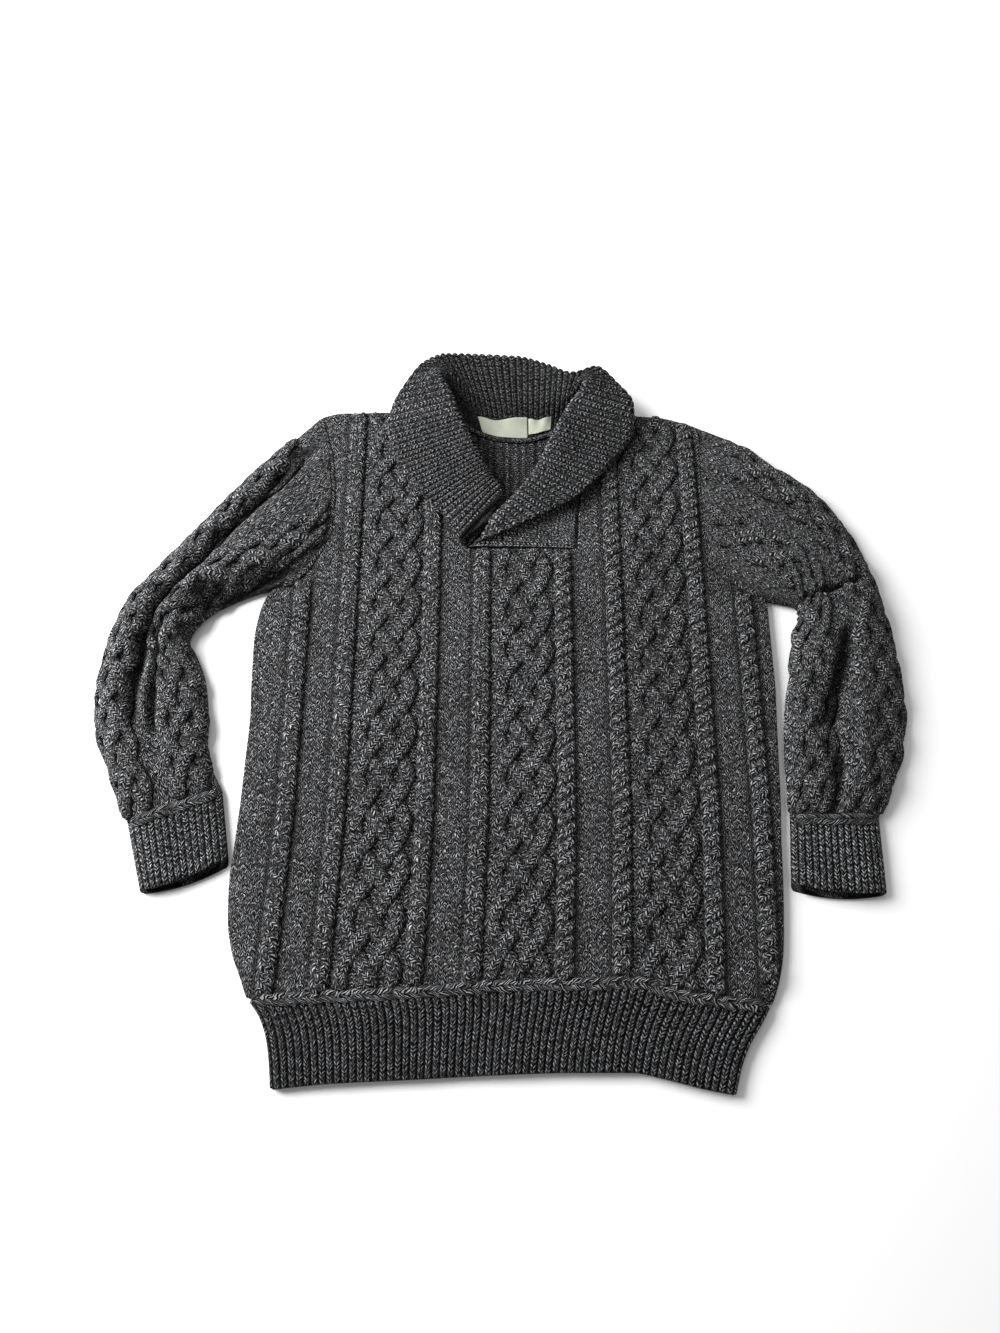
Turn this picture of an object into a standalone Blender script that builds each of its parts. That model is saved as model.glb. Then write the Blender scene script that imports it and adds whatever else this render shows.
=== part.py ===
"""An aran sweater with a shawl collar, lying front up on a flat surface.

The sweater lies with its collar at +Y and its back panel on the surface. Left and right are
those of somebody who looks down on it with the collar at the far side. Each knitted piece is a
closed solid: the panels lie on each other, and pieces that are sewn together keep a small seam
gap. Sizes and tables are in millimetres, measured from a point below the middle of the hem, and
the finished pieces are moved so that the origin is under the middle of the whole sweater.
"""

import bisect
import math

import bmesh
import bpy
from mathutils import Vector

MM = 0.001
MERGE = 0.00005
FLAT_ANGLE = math.radians(0.5)
SHARP_ANGLE = math.radians(40.0)
SEAM_GAP = 0.45

# Heights above the surface, and how thick the knitted cloth is.
BACK_TOP = 4.5
FRONT_BASE = 4.8
FRONT_WALL = 4.8
FRONT_EDGE_WALL = 1.7
EDGE_ROLL = 18.0
SEAM_ROLL = 9.0
# How much of the roll is left right at a seam.
SEAM_LEVEL = 0.35
HEM_WALL = 4.2

# The cables of the front: how far each is from the centre line, and how high it stands.
STRAND_LIFT = 3.6
OVER_LIFT = 1.0
STRAND_HALF_WIDTH = 7.0
# A slanted strand is read across, so its half width there is larger.
STRAND_SLANT = 0.82
PLAIT_REACH = 28.6
PLAIT_ROUNDING = 0.35
PLAIT_PERIOD = 46.0
PLAIT_HALF_WIDTH = 32.5
ROPE_LIFT = 3.0
ROPE_HALF_WIDTH = 10.5
PLAIT_CENTRES = (0.0, 140.0)
ROPE_CENTRES = (43.0, 97.0, 184.0, 234.0)
# The columns of points across half of the front; the plaits have a column at each crossing.
HALF_COLUMNS = (
    0, 8, 16, 24, 32.5, 43, 53, 59.5, 73, 87, 97, 107.5, 116, 124, 132, 140,
    148, 156, 164, 172.5, 184, 194.5, 209, 224, 234, 244, 262, 290,
)  # fmt: skip
ROWS_TO_NECK = 39
ROWS_ABOVE_NECK = 15
ROW_PITCH = PLAIT_PERIOD / 4
SNAP = 2.5

# The centre line of the cables: (height, x).
CENTRE_LINE = ((74, 3), (180, 8), (270, 11), (545, 12), (717, 12))
# The side edges of the body, with the armholes above: (height, left x, right x).
BODY_EDGES = (
    (73, -244, 239),
    (98, -254, 249),
    (124, -265, 255),
    (152, -271, 258),
    (190, -273, 261),
    (228, -271, 263),
    (268, -269, 266),
    (309, -268, 268),
    (350, -267, 270),
    (394, -269, 272),
    (438, -270, 272),
    (466, -267, 272),
    (481, -263, 272),
    (493, -257, 253),
    (502, -238, 242),
    (516, -223, 231),
    (545, -205, 216),
    (568, -197.5, 210.5),
    (601, -196.5, 210),
    (646, -200, 211.5),
    (677, -207, 209),
    (717, -220, 202),
)
# The line where the hem is linked on: (x, height).
LINK_LINE = (
    (-262, 80),
    (-247, 81),
    (-168, 85),
    (-83, 89),
    (3, 95),
    (71, 96),
    (116, 97.5),
    (156, 85.5),
    (190, 81),
    (240, 75),
    (260, 73),
)
# The shoulders, the back neckline and the sides of the neck opening.
SHOULDER_LINE = (
    (-225, 707),
    (-189, 716),
    (-135, 717),
    (12, 717),
    (107, 714),
    (170, 709),
    (206, 700),
)
BACK_NECK = (
    (-74, 716),
    (-62, 704),
    (-38, 689),
    (-12, 680.3),
    (10, 678.3),
    (38, 684),
    (62, 696.5),
    (80, 706.5),
    (93, 715),
)
NECK_BOTTOM = 542.0
NECK_SIDES = (
    (542, -47.5, 71.5),
    (576, -49.5, 73),
    (613, -58, 77),
    (658, -71, 87.5),
    (690, -80.5, 98),
    (704, -83, 101),
    (712, -80, 98),
    (718, -73, 92),
)
# The columns of points across the back, closer where its edges bend.
BACK_COLUMNS = (
    -290, -230, -190, -168, -140, -112, -88, -74, -68, -62, -50, -38, -25, -12, 0, 10, 24, 38, 50,
    62, 71, 80, 87, 93, 106, 116, 126, 136, 146, 156, 166, 176, 190, 205, 220, 235, 290,
)  # fmt: skip

# The hem: (share of the way down, left x, right x), and its lower edge (x, height).
HEM_SIDES = ((0, -246, 239), (0.2, -234, 229), (0.45, -226, 216), (0.7, -222, 207), (1, -219, 200))
HEM_EDGE = (
    (-219, 3),
    (-164, 8),
    (-98, 11),
    (-14, 15),
    (53, 17),
    (109, 17),
    (136, 12),
    (169, 4),
    (200, -2),
)
HEM_RIBS = 62
RIB_LIFT = 1.1
# Rows of points down the hem: (share of the way down, lift, share of the rib's height).
HEM_ROWS = ((0, -1.0, 0), (0.08, 2.4, 0), (0.17, 0, 1), (1, -0.4, 0.8))

# The sleeves, from the armhole to the cuff: (inner x, inner y, outer x, outer y, top height).
SLEEVE_STATIONS = {
    "left": (
        (-257, 493, -219, 711, 9.5),
        (-272, 489.5, -258, 668, 17),
        (-290, 482, -298, 619, 21),
        (-309, 472, -337, 568, 22),
        (-328, 456, -375, 519, 24),
        (-337, 437, -404, 478, 23),
        (-328, 420, -417, 430, 22),
        (-316, 392, -421, 386, 21),
        (-309, 352, -417, 345, 19),
        (-306, 314, -403, 306, 17),
        (-288, 277, -378, 244, 12),
    ),
    "right": (
        (272.5, 481, 203, 703, 9.5),
        (280, 479.5, 247, 681, 17),
        (289, 478, 290, 645, 21),
        (298, 476, 331, 611, 22),
        (304.5, 469, 361, 566, 23),
        (304, 456, 380, 517, 24),
        (299, 436, 390, 469, 24),
        (290, 406, 395, 424, 22),
        (281, 372, 397, 377, 20),
        (275.5, 334, 393, 334, 18),
        (273.5, 295, 381, 294, 16),
        (273.5, 250, 361, 250, 12),
    ),
}
SLEEVE_ROWS = 34
# The body's row of points at each armpit.
ARMPIT_ROW = {"left": 35, "right": 34}
SLEEVE_RIM = 5.0
SLEEVE_INSET = 4.0
# The lowest that a fold or the ground between cables may be, over the slit.
SLEEVE_FLOOR = 13.0
# How fast the curve of the armhole fades out along the sleeve.
HEAD_FADE = 0.22
# Long folds: (start and end along the sleeve, start and end across it, half width, depth).
SLEEVE_FOLDS = {
    "left": (
        (0.10, 0.82, 0.80, 0.74, 9, 7),
        (0.47, 0.78, 0.50, 0.44, 8, 6),
        (0.02, 0.42, 0.22, 0.30, 9, 6),
    ),
    "right": (
        (0.02, 0.46, 0.20, 0.62, 9, 6),
        (0.50, 0.84, 0.66, 0.55, 9, 8),
        (0.86, 1.05, 0.68, 0.62, 7, 6),
    ),
}
# The cables on a sleeve, as millimetres in from its outer edge.
SLEEVE_PLAIT = 38.0
SLEEVE_ROPES = (82.0, 112.0, 142.0)
# The slit between the upper and the lower layer of a sleeve or cuff.
SLIT_MARGIN = 9.0
SLIT_HEIGHT = 3.0
SLIT_RIM_HEIGHT = 0.4
SLIT_OVERRUN = 12.0

# The cuffs: (inner x, inner y, outer x, outer y) at the sleeve and at the mouth.
CUFF_ENDS = {
    "left": ((-288, 276.5, -378, 243.5), (-276, 211, -358, 179)),
    "right": ((273.5, 249.5, 361, 249.5), (268.5, 187, 359.5, 178)),
}
CUFF_RIBS = 12
CUFF_TOP = 12.5
CUFF_LAYER_STEP = 5.0
CUFF_BULGE = 5.0
CUFF_ROWS = ((0, -1.5, 0), (0.1, 2.2, 0), (0.2, 0, 1), (1, -1.0, 0.8))

# The collar: a wide rib band, sewn to the neckline, turned out over a crest on both sides.
# Each row: seam (x, y, z), crest (x, y, z), free edge (x, y, z), drop of the fold.
COLLAR_ROWS = (
    ((-46.6, 552, 8.2), (-12, 607, 22), (-56, 554, 18.5), 8),
    ((-48.2, 572, 8.2), (-21, 622, 25), (-74, 579, 18.5), 8),
    ((-53.2, 603, 8.2), (-31, 640, 28), (-97, 604, 18.5), 8),
    ((-63, 640, 8.2), (-42, 662, 31), (-118, 636, 19), 8),
    ((-71, 668, 8.2), (-52, 682, 33), (-131, 660, 20), 8),
    ((-76.5, 690, 8.2), (-60, 702, 35), (-138, 688, 21.5), 8),
    ((-77, 702, 8.2), (-68, 724, 36), (-133, 714, 24), 8),
    ((-70.5, 711, 7.5), (-77, 746, 36), (-119, 740, 29), 6),
    ((-59, 706.5, 5.5), (-70, 756, 31), (-99, 765, 34), 2),
    ((-38, 692, 4.0), (-52, 742, 20), (-72, 778, 32), 0),
    ((-12, 683, 3.6), (-22, 730, 14), (-34, 779, 29), 0),
    ((10, 681, 3.6), (8, 728, 13), (6, 778, 27), 0),
    ((38, 687, 4.0), (40, 727, 16), (42, 766, 29), 0),
    ((60, 698.5, 5.0), (65, 730, 24), (70, 753, 32), 1),
    ((76, 708, 6.5), (79, 744, 34), (97, 760, 33), 3),
    ((88, 711, 7.5), (84, 741, 37), (121, 741, 28), 6),
    ((95, 703, 8.2), (79, 727, 37), (138, 717, 24), 8),
    ((93.5, 688, 8.2), (66, 707, 36), (139, 693, 22), 8),
    ((87.5, 664, 8.2), (54, 684, 34), (130, 666, 20.5), 8),
    ((79.5, 634, 8.2), (42, 659, 31), (110, 642, 19.5), 8),
    ((74.4, 602, 8.2), (27, 629, 29), (79, 606, 20), 8),
    ((72, 576, 8.2), (5, 601, 25), (38, 581, 20), 8),
    ((71, 559, 8.2), (-20, 575, 20), (-6, 559, 19), 8),
    ((70.8, 543.2, 8.2), (-34, 545, 8.8), (-45.4, 545.4, 9.2), 0),
)  # fmt: skip
COLLAR_RIBS = 64
COLLAR_WALL = 4.2
COLLAR_WAVE = 0.9
# Where the band crowds together, its ribs are lower and its wall is thinner.
CROWDED_COLUMN = 3.6
CROWDED_LEAST = 0.3
CROWDED_WALL = 0.6
SHORTEST_STEP = 4.0
FOLD_REACH = 5.0
LOWER_LEG_SAG = 0.25
# The steps over which the band's direction is read, along it and up it.
READ_ALONG = 0.004
READ_UP = 0.06
# The part of the band, from its left end, that lies at the back neck.
BACK_NECK_SPAN = (0.3, 0.62)

# The woven label and the small tab beside it, on the collar at the back neck:
# (start and end along the collar as x, start and end of the way up, thickness).
LABEL_SPANS = {"neck_label": (-34.0, 17.0, 0.12, 1.05), "size_tab": (19.0, 43.0, 0.22, 1.0)}
LABEL_WALL = 0.8
LABEL_WAVE = 0.8
LABEL_CLEARANCE = 0.5

# The cloth's colours and how rough it is.
MARL = (0.072, 0.074, 0.078, 1.0)
RIB_MARL = (0.045, 0.046, 0.049, 1.0)
CREAM = (0.72, 0.72, 0.66, 1.0)
KNIT_ROUGHNESS = 0.92
LABEL_ROUGHNESS = 0.8

# Levels of a solid's points: its upper face and its lower face.
UPPER, LOWER = 0.0, 1.0


def smooth_step(value):
    """Rises softly from 0 to 1 while the value goes from 0 to 1."""
    share = min(1.0, max(0.0, value))
    return share * share * (3.0 - 2.0 * share)


def mix(first, second, share):
    """The value between two values."""
    return first + (second - first) * share


class Curve:
    """A smooth curve through the rows of a table, which never swings past them.

    The first number of each row is the place along the curve, and the others are read at it.
    """

    def __init__(self, rows):
        self.places = [float(row[0]) for row in rows]
        self.values = [[float(value) for value in row[1:]] for row in rows]
        self.slopes = [
            [self._slope(index, part) for part in range(len(self.values[0]))]
            for index in range(len(rows))
        ]

    def _secant(self, index, part):
        run = self.places[index + 1] - self.places[index]
        return (self.values[index + 1][part] - self.values[index][part]) / run

    def _slope(self, index, part):
        last = len(self.places) - 1
        if index == 0:
            return self._secant(0, part)
        if index == last:
            return self._secant(last - 1, part)
        before, after = self._secant(index - 1, part), self._secant(index, part)
        if before * after <= 0.0:
            return 0.0
        return 2.0 * before * after / (before + after)

    def at(self, place):
        """The values at a place; past the ends the curve goes on straight."""
        last = len(self.places) - 1
        index = min(last - 1, max(0, bisect.bisect_right(self.places, place) - 1))
        run = self.places[index + 1] - self.places[index]
        share = (place - self.places[index]) / run
        if share < 0.0 or share > 1.0:
            end = index if share < 0.0 else index + 1
            reach = place - self.places[end]
            return [v + s * reach for v, s in zip(self.values[end], self.slopes[end])]
        result = []
        for part in range(len(self.values[0])):
            first, second = self.values[index][part], self.values[index + 1][part]
            leave, arrive = self.slopes[index][part] * run, self.slopes[index + 1][part] * run
            square, cube = share**2, share**3
            result.append(
                first * (2 * cube - 3 * square + 1)
                + leave * (cube - 2 * square + share)
                + second * (3 * square - 2 * cube)
                + arrive * (cube - square)
            )
        return result


def evenly(rows):
    """The rows with places 0 to 1 in front of them."""
    last = len(rows) - 1
    return [(index / last, *row) for index, row in enumerate(rows)]


CENTRE = Curve(CENTRE_LINE)
EDGES = Curve(BODY_EDGES)
LINK = Curve(LINK_LINE)
SHOULDERS = Curve(SHOULDER_LINE)
NECK_BACK = Curve(BACK_NECK)
NECK_FRONT = Curve(NECK_SIDES)
HEM_SIDE_CURVE = Curve(HEM_SIDES)
HEM_EDGE_CURVE = Curve(HEM_EDGE)


def strand_place(strand, run):
    """How far a plait's strand is from the plait's middle, and which way it is going."""
    turn = (run / PLAIT_PERIOD + strand) / 4.0
    share = turn - math.floor(turn)
    swing = 4.0 * share - 1.0 if share < 0.5 else 3.0 - 4.0 * share
    way = 1.0 if share < 0.5 else -1.0
    rounded = math.sin(swing * math.pi / 2)
    return PLAIT_REACH * mix(swing, rounded, PLAIT_ROUNDING), way


def plait_lift(offset, run):
    """How high the four-strand plait stands at an offset from its middle."""
    best = 0.0
    for strand in range(4):
        place, way = strand_place(strand, run)
        near = abs(offset - place) * STRAND_SLANT / STRAND_HALF_WIDTH
        if near < 1.0:
            over = way * math.cos(2 * math.pi * (run / PLAIT_PERIOD + 0.5))
            height = (STRAND_LIFT + OVER_LIFT * over) * math.sqrt(1.0 - near**2)
            best = max(best, height)
    return best


def rope_lift(offset):
    """How high a two-strand rope stands at an offset from its middle."""
    near = abs(offset) / ROPE_HALF_WIDTH
    return ROPE_LIFT * math.sqrt(1.0 - near**2) if near < 1.0 else 0.0


def front_lift(offset, run):
    """How high the front's cables stand at an offset from the centre line."""
    side = math.copysign(1.0, offset)
    for centre in PLAIT_CENTRES:
        away = abs(offset) - centre
        if abs(away) < PLAIT_HALF_WIDTH:
            return plait_lift(away * side, run)
    for centre in ROPE_CENTRES:
        away = abs(offset) - centre
        if abs(away) < ROPE_HALF_WIDTH:
            return rope_lift(away)
    return 0.0


def row_height(x, row, top):
    """The height of a row of knitting at x, from the link line past the neck to the top line."""
    link = LINK.at(x)[0] + SEAM_GAP / 2
    if row <= ROWS_TO_NECK:
        return mix(link, NECK_BOTTOM, row / ROWS_TO_NECK)
    return mix(NECK_BOTTOM, top, (row - ROWS_TO_NECK) / ROWS_ABOVE_NECK)


def shoulder_line(x):
    """The height of the shoulders at x."""
    return SHOULDERS.at(x)[0]


def body_point(offset, row, top_line, neck_row):
    """A point of a body panel: x, y, and whether it lies in the neck opening.

    A column that would run past the side edge, or into the neck opening, is held at the edge.
    """
    height = row_height(offset, row, top_line(offset))
    for _ in range(2):
        x = CENTRE.at(height)[0] + offset
        left, right = EDGES.at(height)
        if x < left + SNAP:
            x = left
        if x > right - SNAP:
            x = right
        in_neck = False
        if neck_row is not None and row >= neck_row:
            neck_left, neck_right = NECK_FRONT.at(height)
            in_neck = neck_left - SNAP < x < neck_right + SNAP
            if in_neck and row > neck_row:
                x = neck_left if offset <= 0.0 else neck_right
        height = row_height(x, row, top_line(x))
    return x, height, in_neck


def roll(distance, reach):
    """How far the cloth has risen at a distance from an edge that rolls down."""
    share = min(1.0, max(0.0, distance / reach))
    return math.sqrt(1.0 - (1.0 - share) ** 2)


def front_height(x, y, offset, row):
    """The height of the front's upper face."""
    left, right = EDGES.at(y)
    side = roll(min(x - left, right - x), EDGE_ROLL)
    low = y - LINK.at(x)[0]
    high = SHOULDERS.at(x)[0] - y
    seam = mix(SEAM_LEVEL, 1.0, roll(min(low, high), SEAM_ROLL))
    wall = mix(FRONT_EDGE_WALL, FRONT_WALL, side * seam)
    return FRONT_BASE + wall + front_lift(offset, row * ROW_PITCH) * side * seam


def new_object(name, bm, collection, colour=None, roughness=0.0):
    """Puts a finished mesh in the collection, with a material of its own if it has a colour."""
    bmesh.ops.recalc_face_normals(bm, faces=bm.faces)
    mesh = bpy.data.meshes.new(name)
    bm.to_mesh(mesh)
    bm.free()
    mesh.shade_smooth()
    mesh.set_sharp_from_angle(angle=SHARP_ANGLE)
    thing = bpy.data.objects.new(name, mesh)
    collection.objects.link(thing)
    if colour is not None:
        material = bpy.data.materials.new(name + "_cloth")
        material.use_nodes = True
        shader = material.node_tree.nodes["Principled BSDF"]
        shader.inputs["Base Color"].default_value = colour
        shader.inputs["Roughness"].default_value = roughness
        shader.inputs["Metallic"].default_value = 0.0
        mesh.materials.append(material)
    return thing


def cloth_grid(across, along):
    """A grid whose points keep their place on the cloth: across, along and level."""
    bm = bmesh.new()
    place = bm.verts.layers.float_vector.new("place")
    bmesh.ops.create_grid(bm, x_segments=across, y_segments=along, size=0.5)
    for vert in bm.verts:
        vert[place] = (vert.co.x + 0.5, vert.co.y + 0.5, UPPER)
    return bm, place


def extrude_border(bm, place):
    """Extrudes the open border, marks the new points as the lower level and closes the solid."""
    border = [edge for edge in bm.edges if edge.is_boundary]
    made = bmesh.ops.extrude_edge_only(bm, edges=border)["geom"]
    for item in made:
        if isinstance(item, bmesh.types.BMVert):
            item[place] = (item[place].x, item[place].y, LOWER)
    lower = [edge for edge in made if isinstance(edge, bmesh.types.BMEdge) and edge.is_boundary]
    bmesh.ops.holes_fill(bm, edges=lower, sides=0)


def flatten_faces(bm):
    """Joins the flat faces of a plain panel into one."""
    bmesh.ops.dissolve_limit(
        bm,
        angle_limit=FLAT_ANGLE,
        verts=bm.verts[:],
        edges=bm.edges[:],
        use_dissolve_boundaries=False,
    )


def padded_solid(across, along, point):
    """A closed solid from a point function of (across, along, level), in millimetres."""
    bm, place = cloth_grid(across, along)
    extrude_border(bm, place)
    for vert in bm.verts:
        vert.co = Vector(point(*vert[place])) * MM
    return bm


def build_body(name, columns, neck_row, top_line, height_at, base, collection, flat):
    """A body panel: a grid held inside the outline, given thickness down to a flat base."""
    rows = ROWS_TO_NECK + ROWS_ABOVE_NECK
    bm, place = cloth_grid(len(columns) - 1, rows)
    opening = {}
    for vert in bm.verts:
        offset = columns[round(vert[place].x * (len(columns) - 1))]
        row = round(vert[place].y * rows)
        x, y, in_neck = body_point(offset, row, top_line, neck_row)
        opening[vert] = in_neck
        vert.co = Vector((x, y, height_at(x, y, offset, row))) * MM
    if neck_row is not None:
        inside = [face for face in bm.faces if all(opening[vert] for vert in face.verts)]
        bmesh.ops.delete(bm, geom=inside, context="FACES")
    bmesh.ops.remove_doubles(bm, verts=bm.verts[:], dist=MERGE)
    if flat:
        flatten_faces(bm)
    extrude_border(bm, place)
    for vert in bm.verts:
        if vert[place].z == LOWER:
            vert.co.z = base * MM
    return new_object(name, bm, collection, MARL, KNIT_ROUGHNESS)


def build_front(collection):
    """The front panel, with its three plaits and eight ropes raised over a plain inside."""
    half = [-value for value in reversed(HALF_COLUMNS[1:])]
    columns = (*half, *HALF_COLUMNS)
    return build_body(
        "front",
        columns,
        ROWS_TO_NECK,
        shoulder_line,
        front_height,
        FRONT_BASE,
        collection,
        False,
    )


def back_top_line(x):
    """The shoulders with the back neckline between them."""
    if BACK_NECK[0][0] <= x <= BACK_NECK[-1][0]:
        return NECK_BACK.at(x)[0]
    return SHOULDERS.at(x)[0]


def build_back(collection):
    """The back panel, which lies flat on the surface under the front."""
    columns = [x - CENTRE_LINE[-1][1] for x in BACK_COLUMNS]
    return build_body(
        "back",
        columns,
        None,
        back_top_line,
        lambda x, y, offset, row: BACK_TOP,
        0.0,
        collection,
        True,
    )


def rib_wave(share, ribs):
    """Plus one on a rib and minus one between two ribs."""
    return math.cos(2 * math.pi * ribs * share)


def slit_gap(across):
    """How high the slit in a sleeve or cuff is, from one of its edges to the other."""
    return mix(SLIT_RIM_HEIGHT, SLIT_HEIGHT, 1.0 - abs(2.0 * across - 1.0) ** 4)


def row_of(rows, along):
    """The row of a table of rows at a share of the grid's length."""
    return rows[round(along * (len(rows) - 1))]


def hem_point(across, along, level, wall_base, wall, ribs):
    """A point of the hem's rib band."""
    down, lift, rib = row_of(HEM_ROWS, along) if ribs else (along, 0.0, 0.0)
    left, right = HEM_SIDE_CURVE.at(down)
    top_left, top_right = HEM_SIDE_CURVE.at(0.0)
    link_y = LINK.at(mix(top_left, top_right, across))[0] - SEAM_GAP / 2
    edge_y = HEM_EDGE_CURVE.at(mix(HEM_EDGE[0][0], HEM_EDGE[-1][0], across))[0]
    x, y = mix(left, right, across), mix(link_y, edge_y, down)
    if level == LOWER:
        return x, y, wall_base
    side = roll(min(across, 1.0 - across) * (right - left), EDGE_ROLL / 2)
    raised = (lift + RIB_LIFT * rib * rib_wave(across, ribs)) if ribs else 0.0
    return x, y, wall_base + mix(FRONT_EDGE_WALL, wall + raised, side) if ribs else wall_base + wall


def build_hem(collection):
    """The front and back layers of the hem's rib band."""

    def front_point(across, along, level):
        return hem_point(across, along, level, FRONT_BASE, HEM_WALL, HEM_RIBS)

    def back_point(across, along, level):
        return hem_point(across, along, level, 0.0, BACK_TOP, 0)

    front = padded_solid(HEM_RIBS * 2, len(HEM_ROWS) - 1, front_point)
    new_object("hem_front", front, collection, RIB_MARL, KNIT_ROUGHNESS)
    back = padded_solid(HEM_RIBS, 1, back_point)
    flatten_faces(back)
    new_object("hem_back", back, collection, RIB_MARL, KNIT_ROUGHNESS)


class Sleeve:
    """One sleeve, laid flat: its plan, its upper face and its slit-like hollow."""

    def __init__(self, side):
        self.side = side
        self.stations = Curve(evenly(SLEEVE_STATIONS[side]))
        self.length = SLEEVE_ROWS * ROW_PITCH
        self.seam = self.seam_points()

    def seam_points(self):
        """The body's own armhole points, from the armpit to the shoulder, moved off by the gap."""
        way = 1.0 if self.side == "right" else -1.0
        rows = range(ARMPIT_ROW[self.side], ROWS_TO_NECK + ROWS_ABOVE_NECK + 1)
        edge = [body_point(way * HALF_COLUMNS[-1], row, shoulder_line, None)[:2] for row in rows]
        points = []
        for index, (x, y) in enumerate(edge):
            before, after = edge[max(0, index - 1)], edge[min(len(edge) - 1, index + 1)]
            run = math.hypot(after[0] - before[0], after[1] - before[1])
            out_x, out_y = (after[1] - before[1]) / run, -(after[0] - before[0]) / run
            points.append((x + way * out_x * SEAM_GAP, y + way * out_y * SEAM_GAP))
        return points

    def armhole(self, across):
        """A point of the armhole seam, from the armpit (0) to the shoulder (1)."""
        place = min(1.0, max(0.0, across)) * (len(self.seam) - 1)
        index = min(len(self.seam) - 2, int(place))
        first, second = self.seam[index], self.seam[index + 1]
        share = place - index
        return mix(first[0], second[0], share), mix(first[1], second[1], share)

    def plan(self, across, along):
        """The x and y of a point of the sleeve."""
        inner_x, inner_y, outer_x, outer_y, _ = self.stations.at(along)
        x, y = mix(inner_x, outer_x, across), mix(inner_y, outer_y, across)
        fade = (1.0 - smooth_step(max(0.0, along) / HEAD_FADE)) if along < HEAD_FADE else 0.0
        first_x, first_y, last_x, last_y, _ = self.stations.at(0.0)
        seam_x, seam_y = self.armhole(across)
        x += (seam_x - mix(first_x, last_x, across)) * fade
        y += (seam_y - mix(first_y, last_y, across)) * fade
        return x, y

    def width(self, along):
        """The distance between the two edges of the sleeve."""
        inner_x, inner_y, outer_x, outer_y, _ = self.stations.at(along)
        return math.hypot(outer_x - inner_x, outer_y - inner_y)

    def fold_depth(self, across, along):
        """How far the long folds let the upper face sink."""
        width, depth = self.width(along), 0.0
        for start, end, first, last, half_width, deep in SLEEVE_FOLDS[self.side]:
            share = (along - start) / (end - start)
            if 0.0 < share < 1.0:
                away = abs(across - mix(first, last, share)) * width / half_width
                ends = smooth_step(min(share, 1.0 - share) * 4.0)
                depth += deep * ends * math.exp(-(away**2))
        return depth

    def cable_lift(self, across, along):
        """How high the sleeve's plait and ropes stand."""
        inward = (1.0 - across) * self.width(along)
        if abs(inward - SLEEVE_PLAIT) < PLAIT_HALF_WIDTH:
            return plait_lift(inward - SLEEVE_PLAIT, along * self.length)
        return max(rope_lift(inward - centre) for centre in SLEEVE_ROPES)

    def upper_height(self, across, along):
        """The height of the upper face."""
        high = self.stations.at(along)[4]
        crown = (1.0 - abs(2.0 * across - 1.0) ** 3) ** 0.5
        seam = roll(min(along, 1.0 - along) * self.length, SEAM_ROLL * 2)
        body = mix(SLEEVE_RIM, high, crown)
        lift = (self.cable_lift(across, along) - self.fold_depth(across, along)) * seam * crown
        return max(body + lift, min(body, mix(SLEEVE_RIM, SLEEVE_FLOOR, crown)))

    def solid_point(self, across, along, level):
        """A point of the sleeve's outer form."""
        if level == UPPER:
            return *self.plan(across, along), self.upper_height(across, along)
        inset = SLEEVE_INSET / self.width(along)
        return *self.plan(mix(inset, 1.0 - inset, across), along), 0.0

    def slit_point(self, across, along, level):
        """A point of the hollow between the two layers, which runs past both ends."""
        over = SLIT_OVERRUN / self.length
        place = mix(-over, 1.0 + over, along)
        held = min(1.0, max(0.0, place))
        margin = SLIT_MARGIN / self.width(held)
        x, y = self.plan(mix(margin, 1.0 - margin, across), held)
        near_x, near_y = self.plan(0.5, held)
        step = 0.02 if place < held else -0.02
        far_x, far_y = self.plan(0.5, held + step)
        reach = abs(place - held) * self.length / max(1e-6, math.hypot(far_x - near_x, far_y - near_y))
        x, y = x + (near_x - far_x) * reach, y + (near_y - far_y) * reach
        return x, y, BACK_TOP + (0.0 if level == LOWER else slit_gap(across))


class Cuff:
    """The rib cuff of one sleeve."""

    def __init__(self, side):
        self.ends = CUFF_ENDS[side]
        (x0, y0, x1, y1), (x2, y2, x3, y3) = self.ends
        self.length = math.hypot((x2 + x3 - x0 - x1) / 2, (y2 + y3 - y0 - y1) / 2)
        self.width = math.hypot(x1 - x0, y1 - y0)

    def plan(self, across, down):
        """The x and y of a point of the cuff."""
        (x0, y0, x1, y1), (x2, y2, x3, y3) = self.ends
        x = mix(mix(x0, x1, across), mix(x2, x3, across), down)
        y = mix(mix(y0, y1, across), mix(y2, y3, across), down)
        return x, y - CUFF_BULGE * down**2 * (1.0 - (2.0 * across - 1.0) ** 2)

    def solid_point(self, across, along, level):
        """A point of the cuff's outer form; the lower layer is a little longer."""
        down, lift, rib = row_of(CUFF_ROWS, along)
        start = SEAM_GAP / self.length
        if level == LOWER:
            inset = SLEEVE_INSET / self.width
            longer = mix(start, 1.0 + CUFF_LAYER_STEP / self.length, down)
            return *self.plan(mix(inset, 1.0 - inset, across), longer), 0.0
        crown = (1.0 - abs(2.0 * across - 1.0) ** 4) ** 0.5
        wave = RIB_LIFT * rib * rib_wave(across, CUFF_RIBS)
        height = mix(SLEEVE_RIM, CUFF_TOP + lift + wave, crown)
        return *self.plan(across, mix(start, 1.0, down)), height

    def slit_point(self, across, along, level):
        """A point of the hollow between the cuff's layers, which runs past both ends."""
        over = SLIT_OVERRUN / self.length
        margin = SLIT_MARGIN / self.width
        x, y = self.plan(mix(margin, 1.0 - margin, across), mix(-over, 1.0 + over, along))
        return x, y, BACK_TOP + (0.0 if level == LOWER else slit_gap(across))


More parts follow.
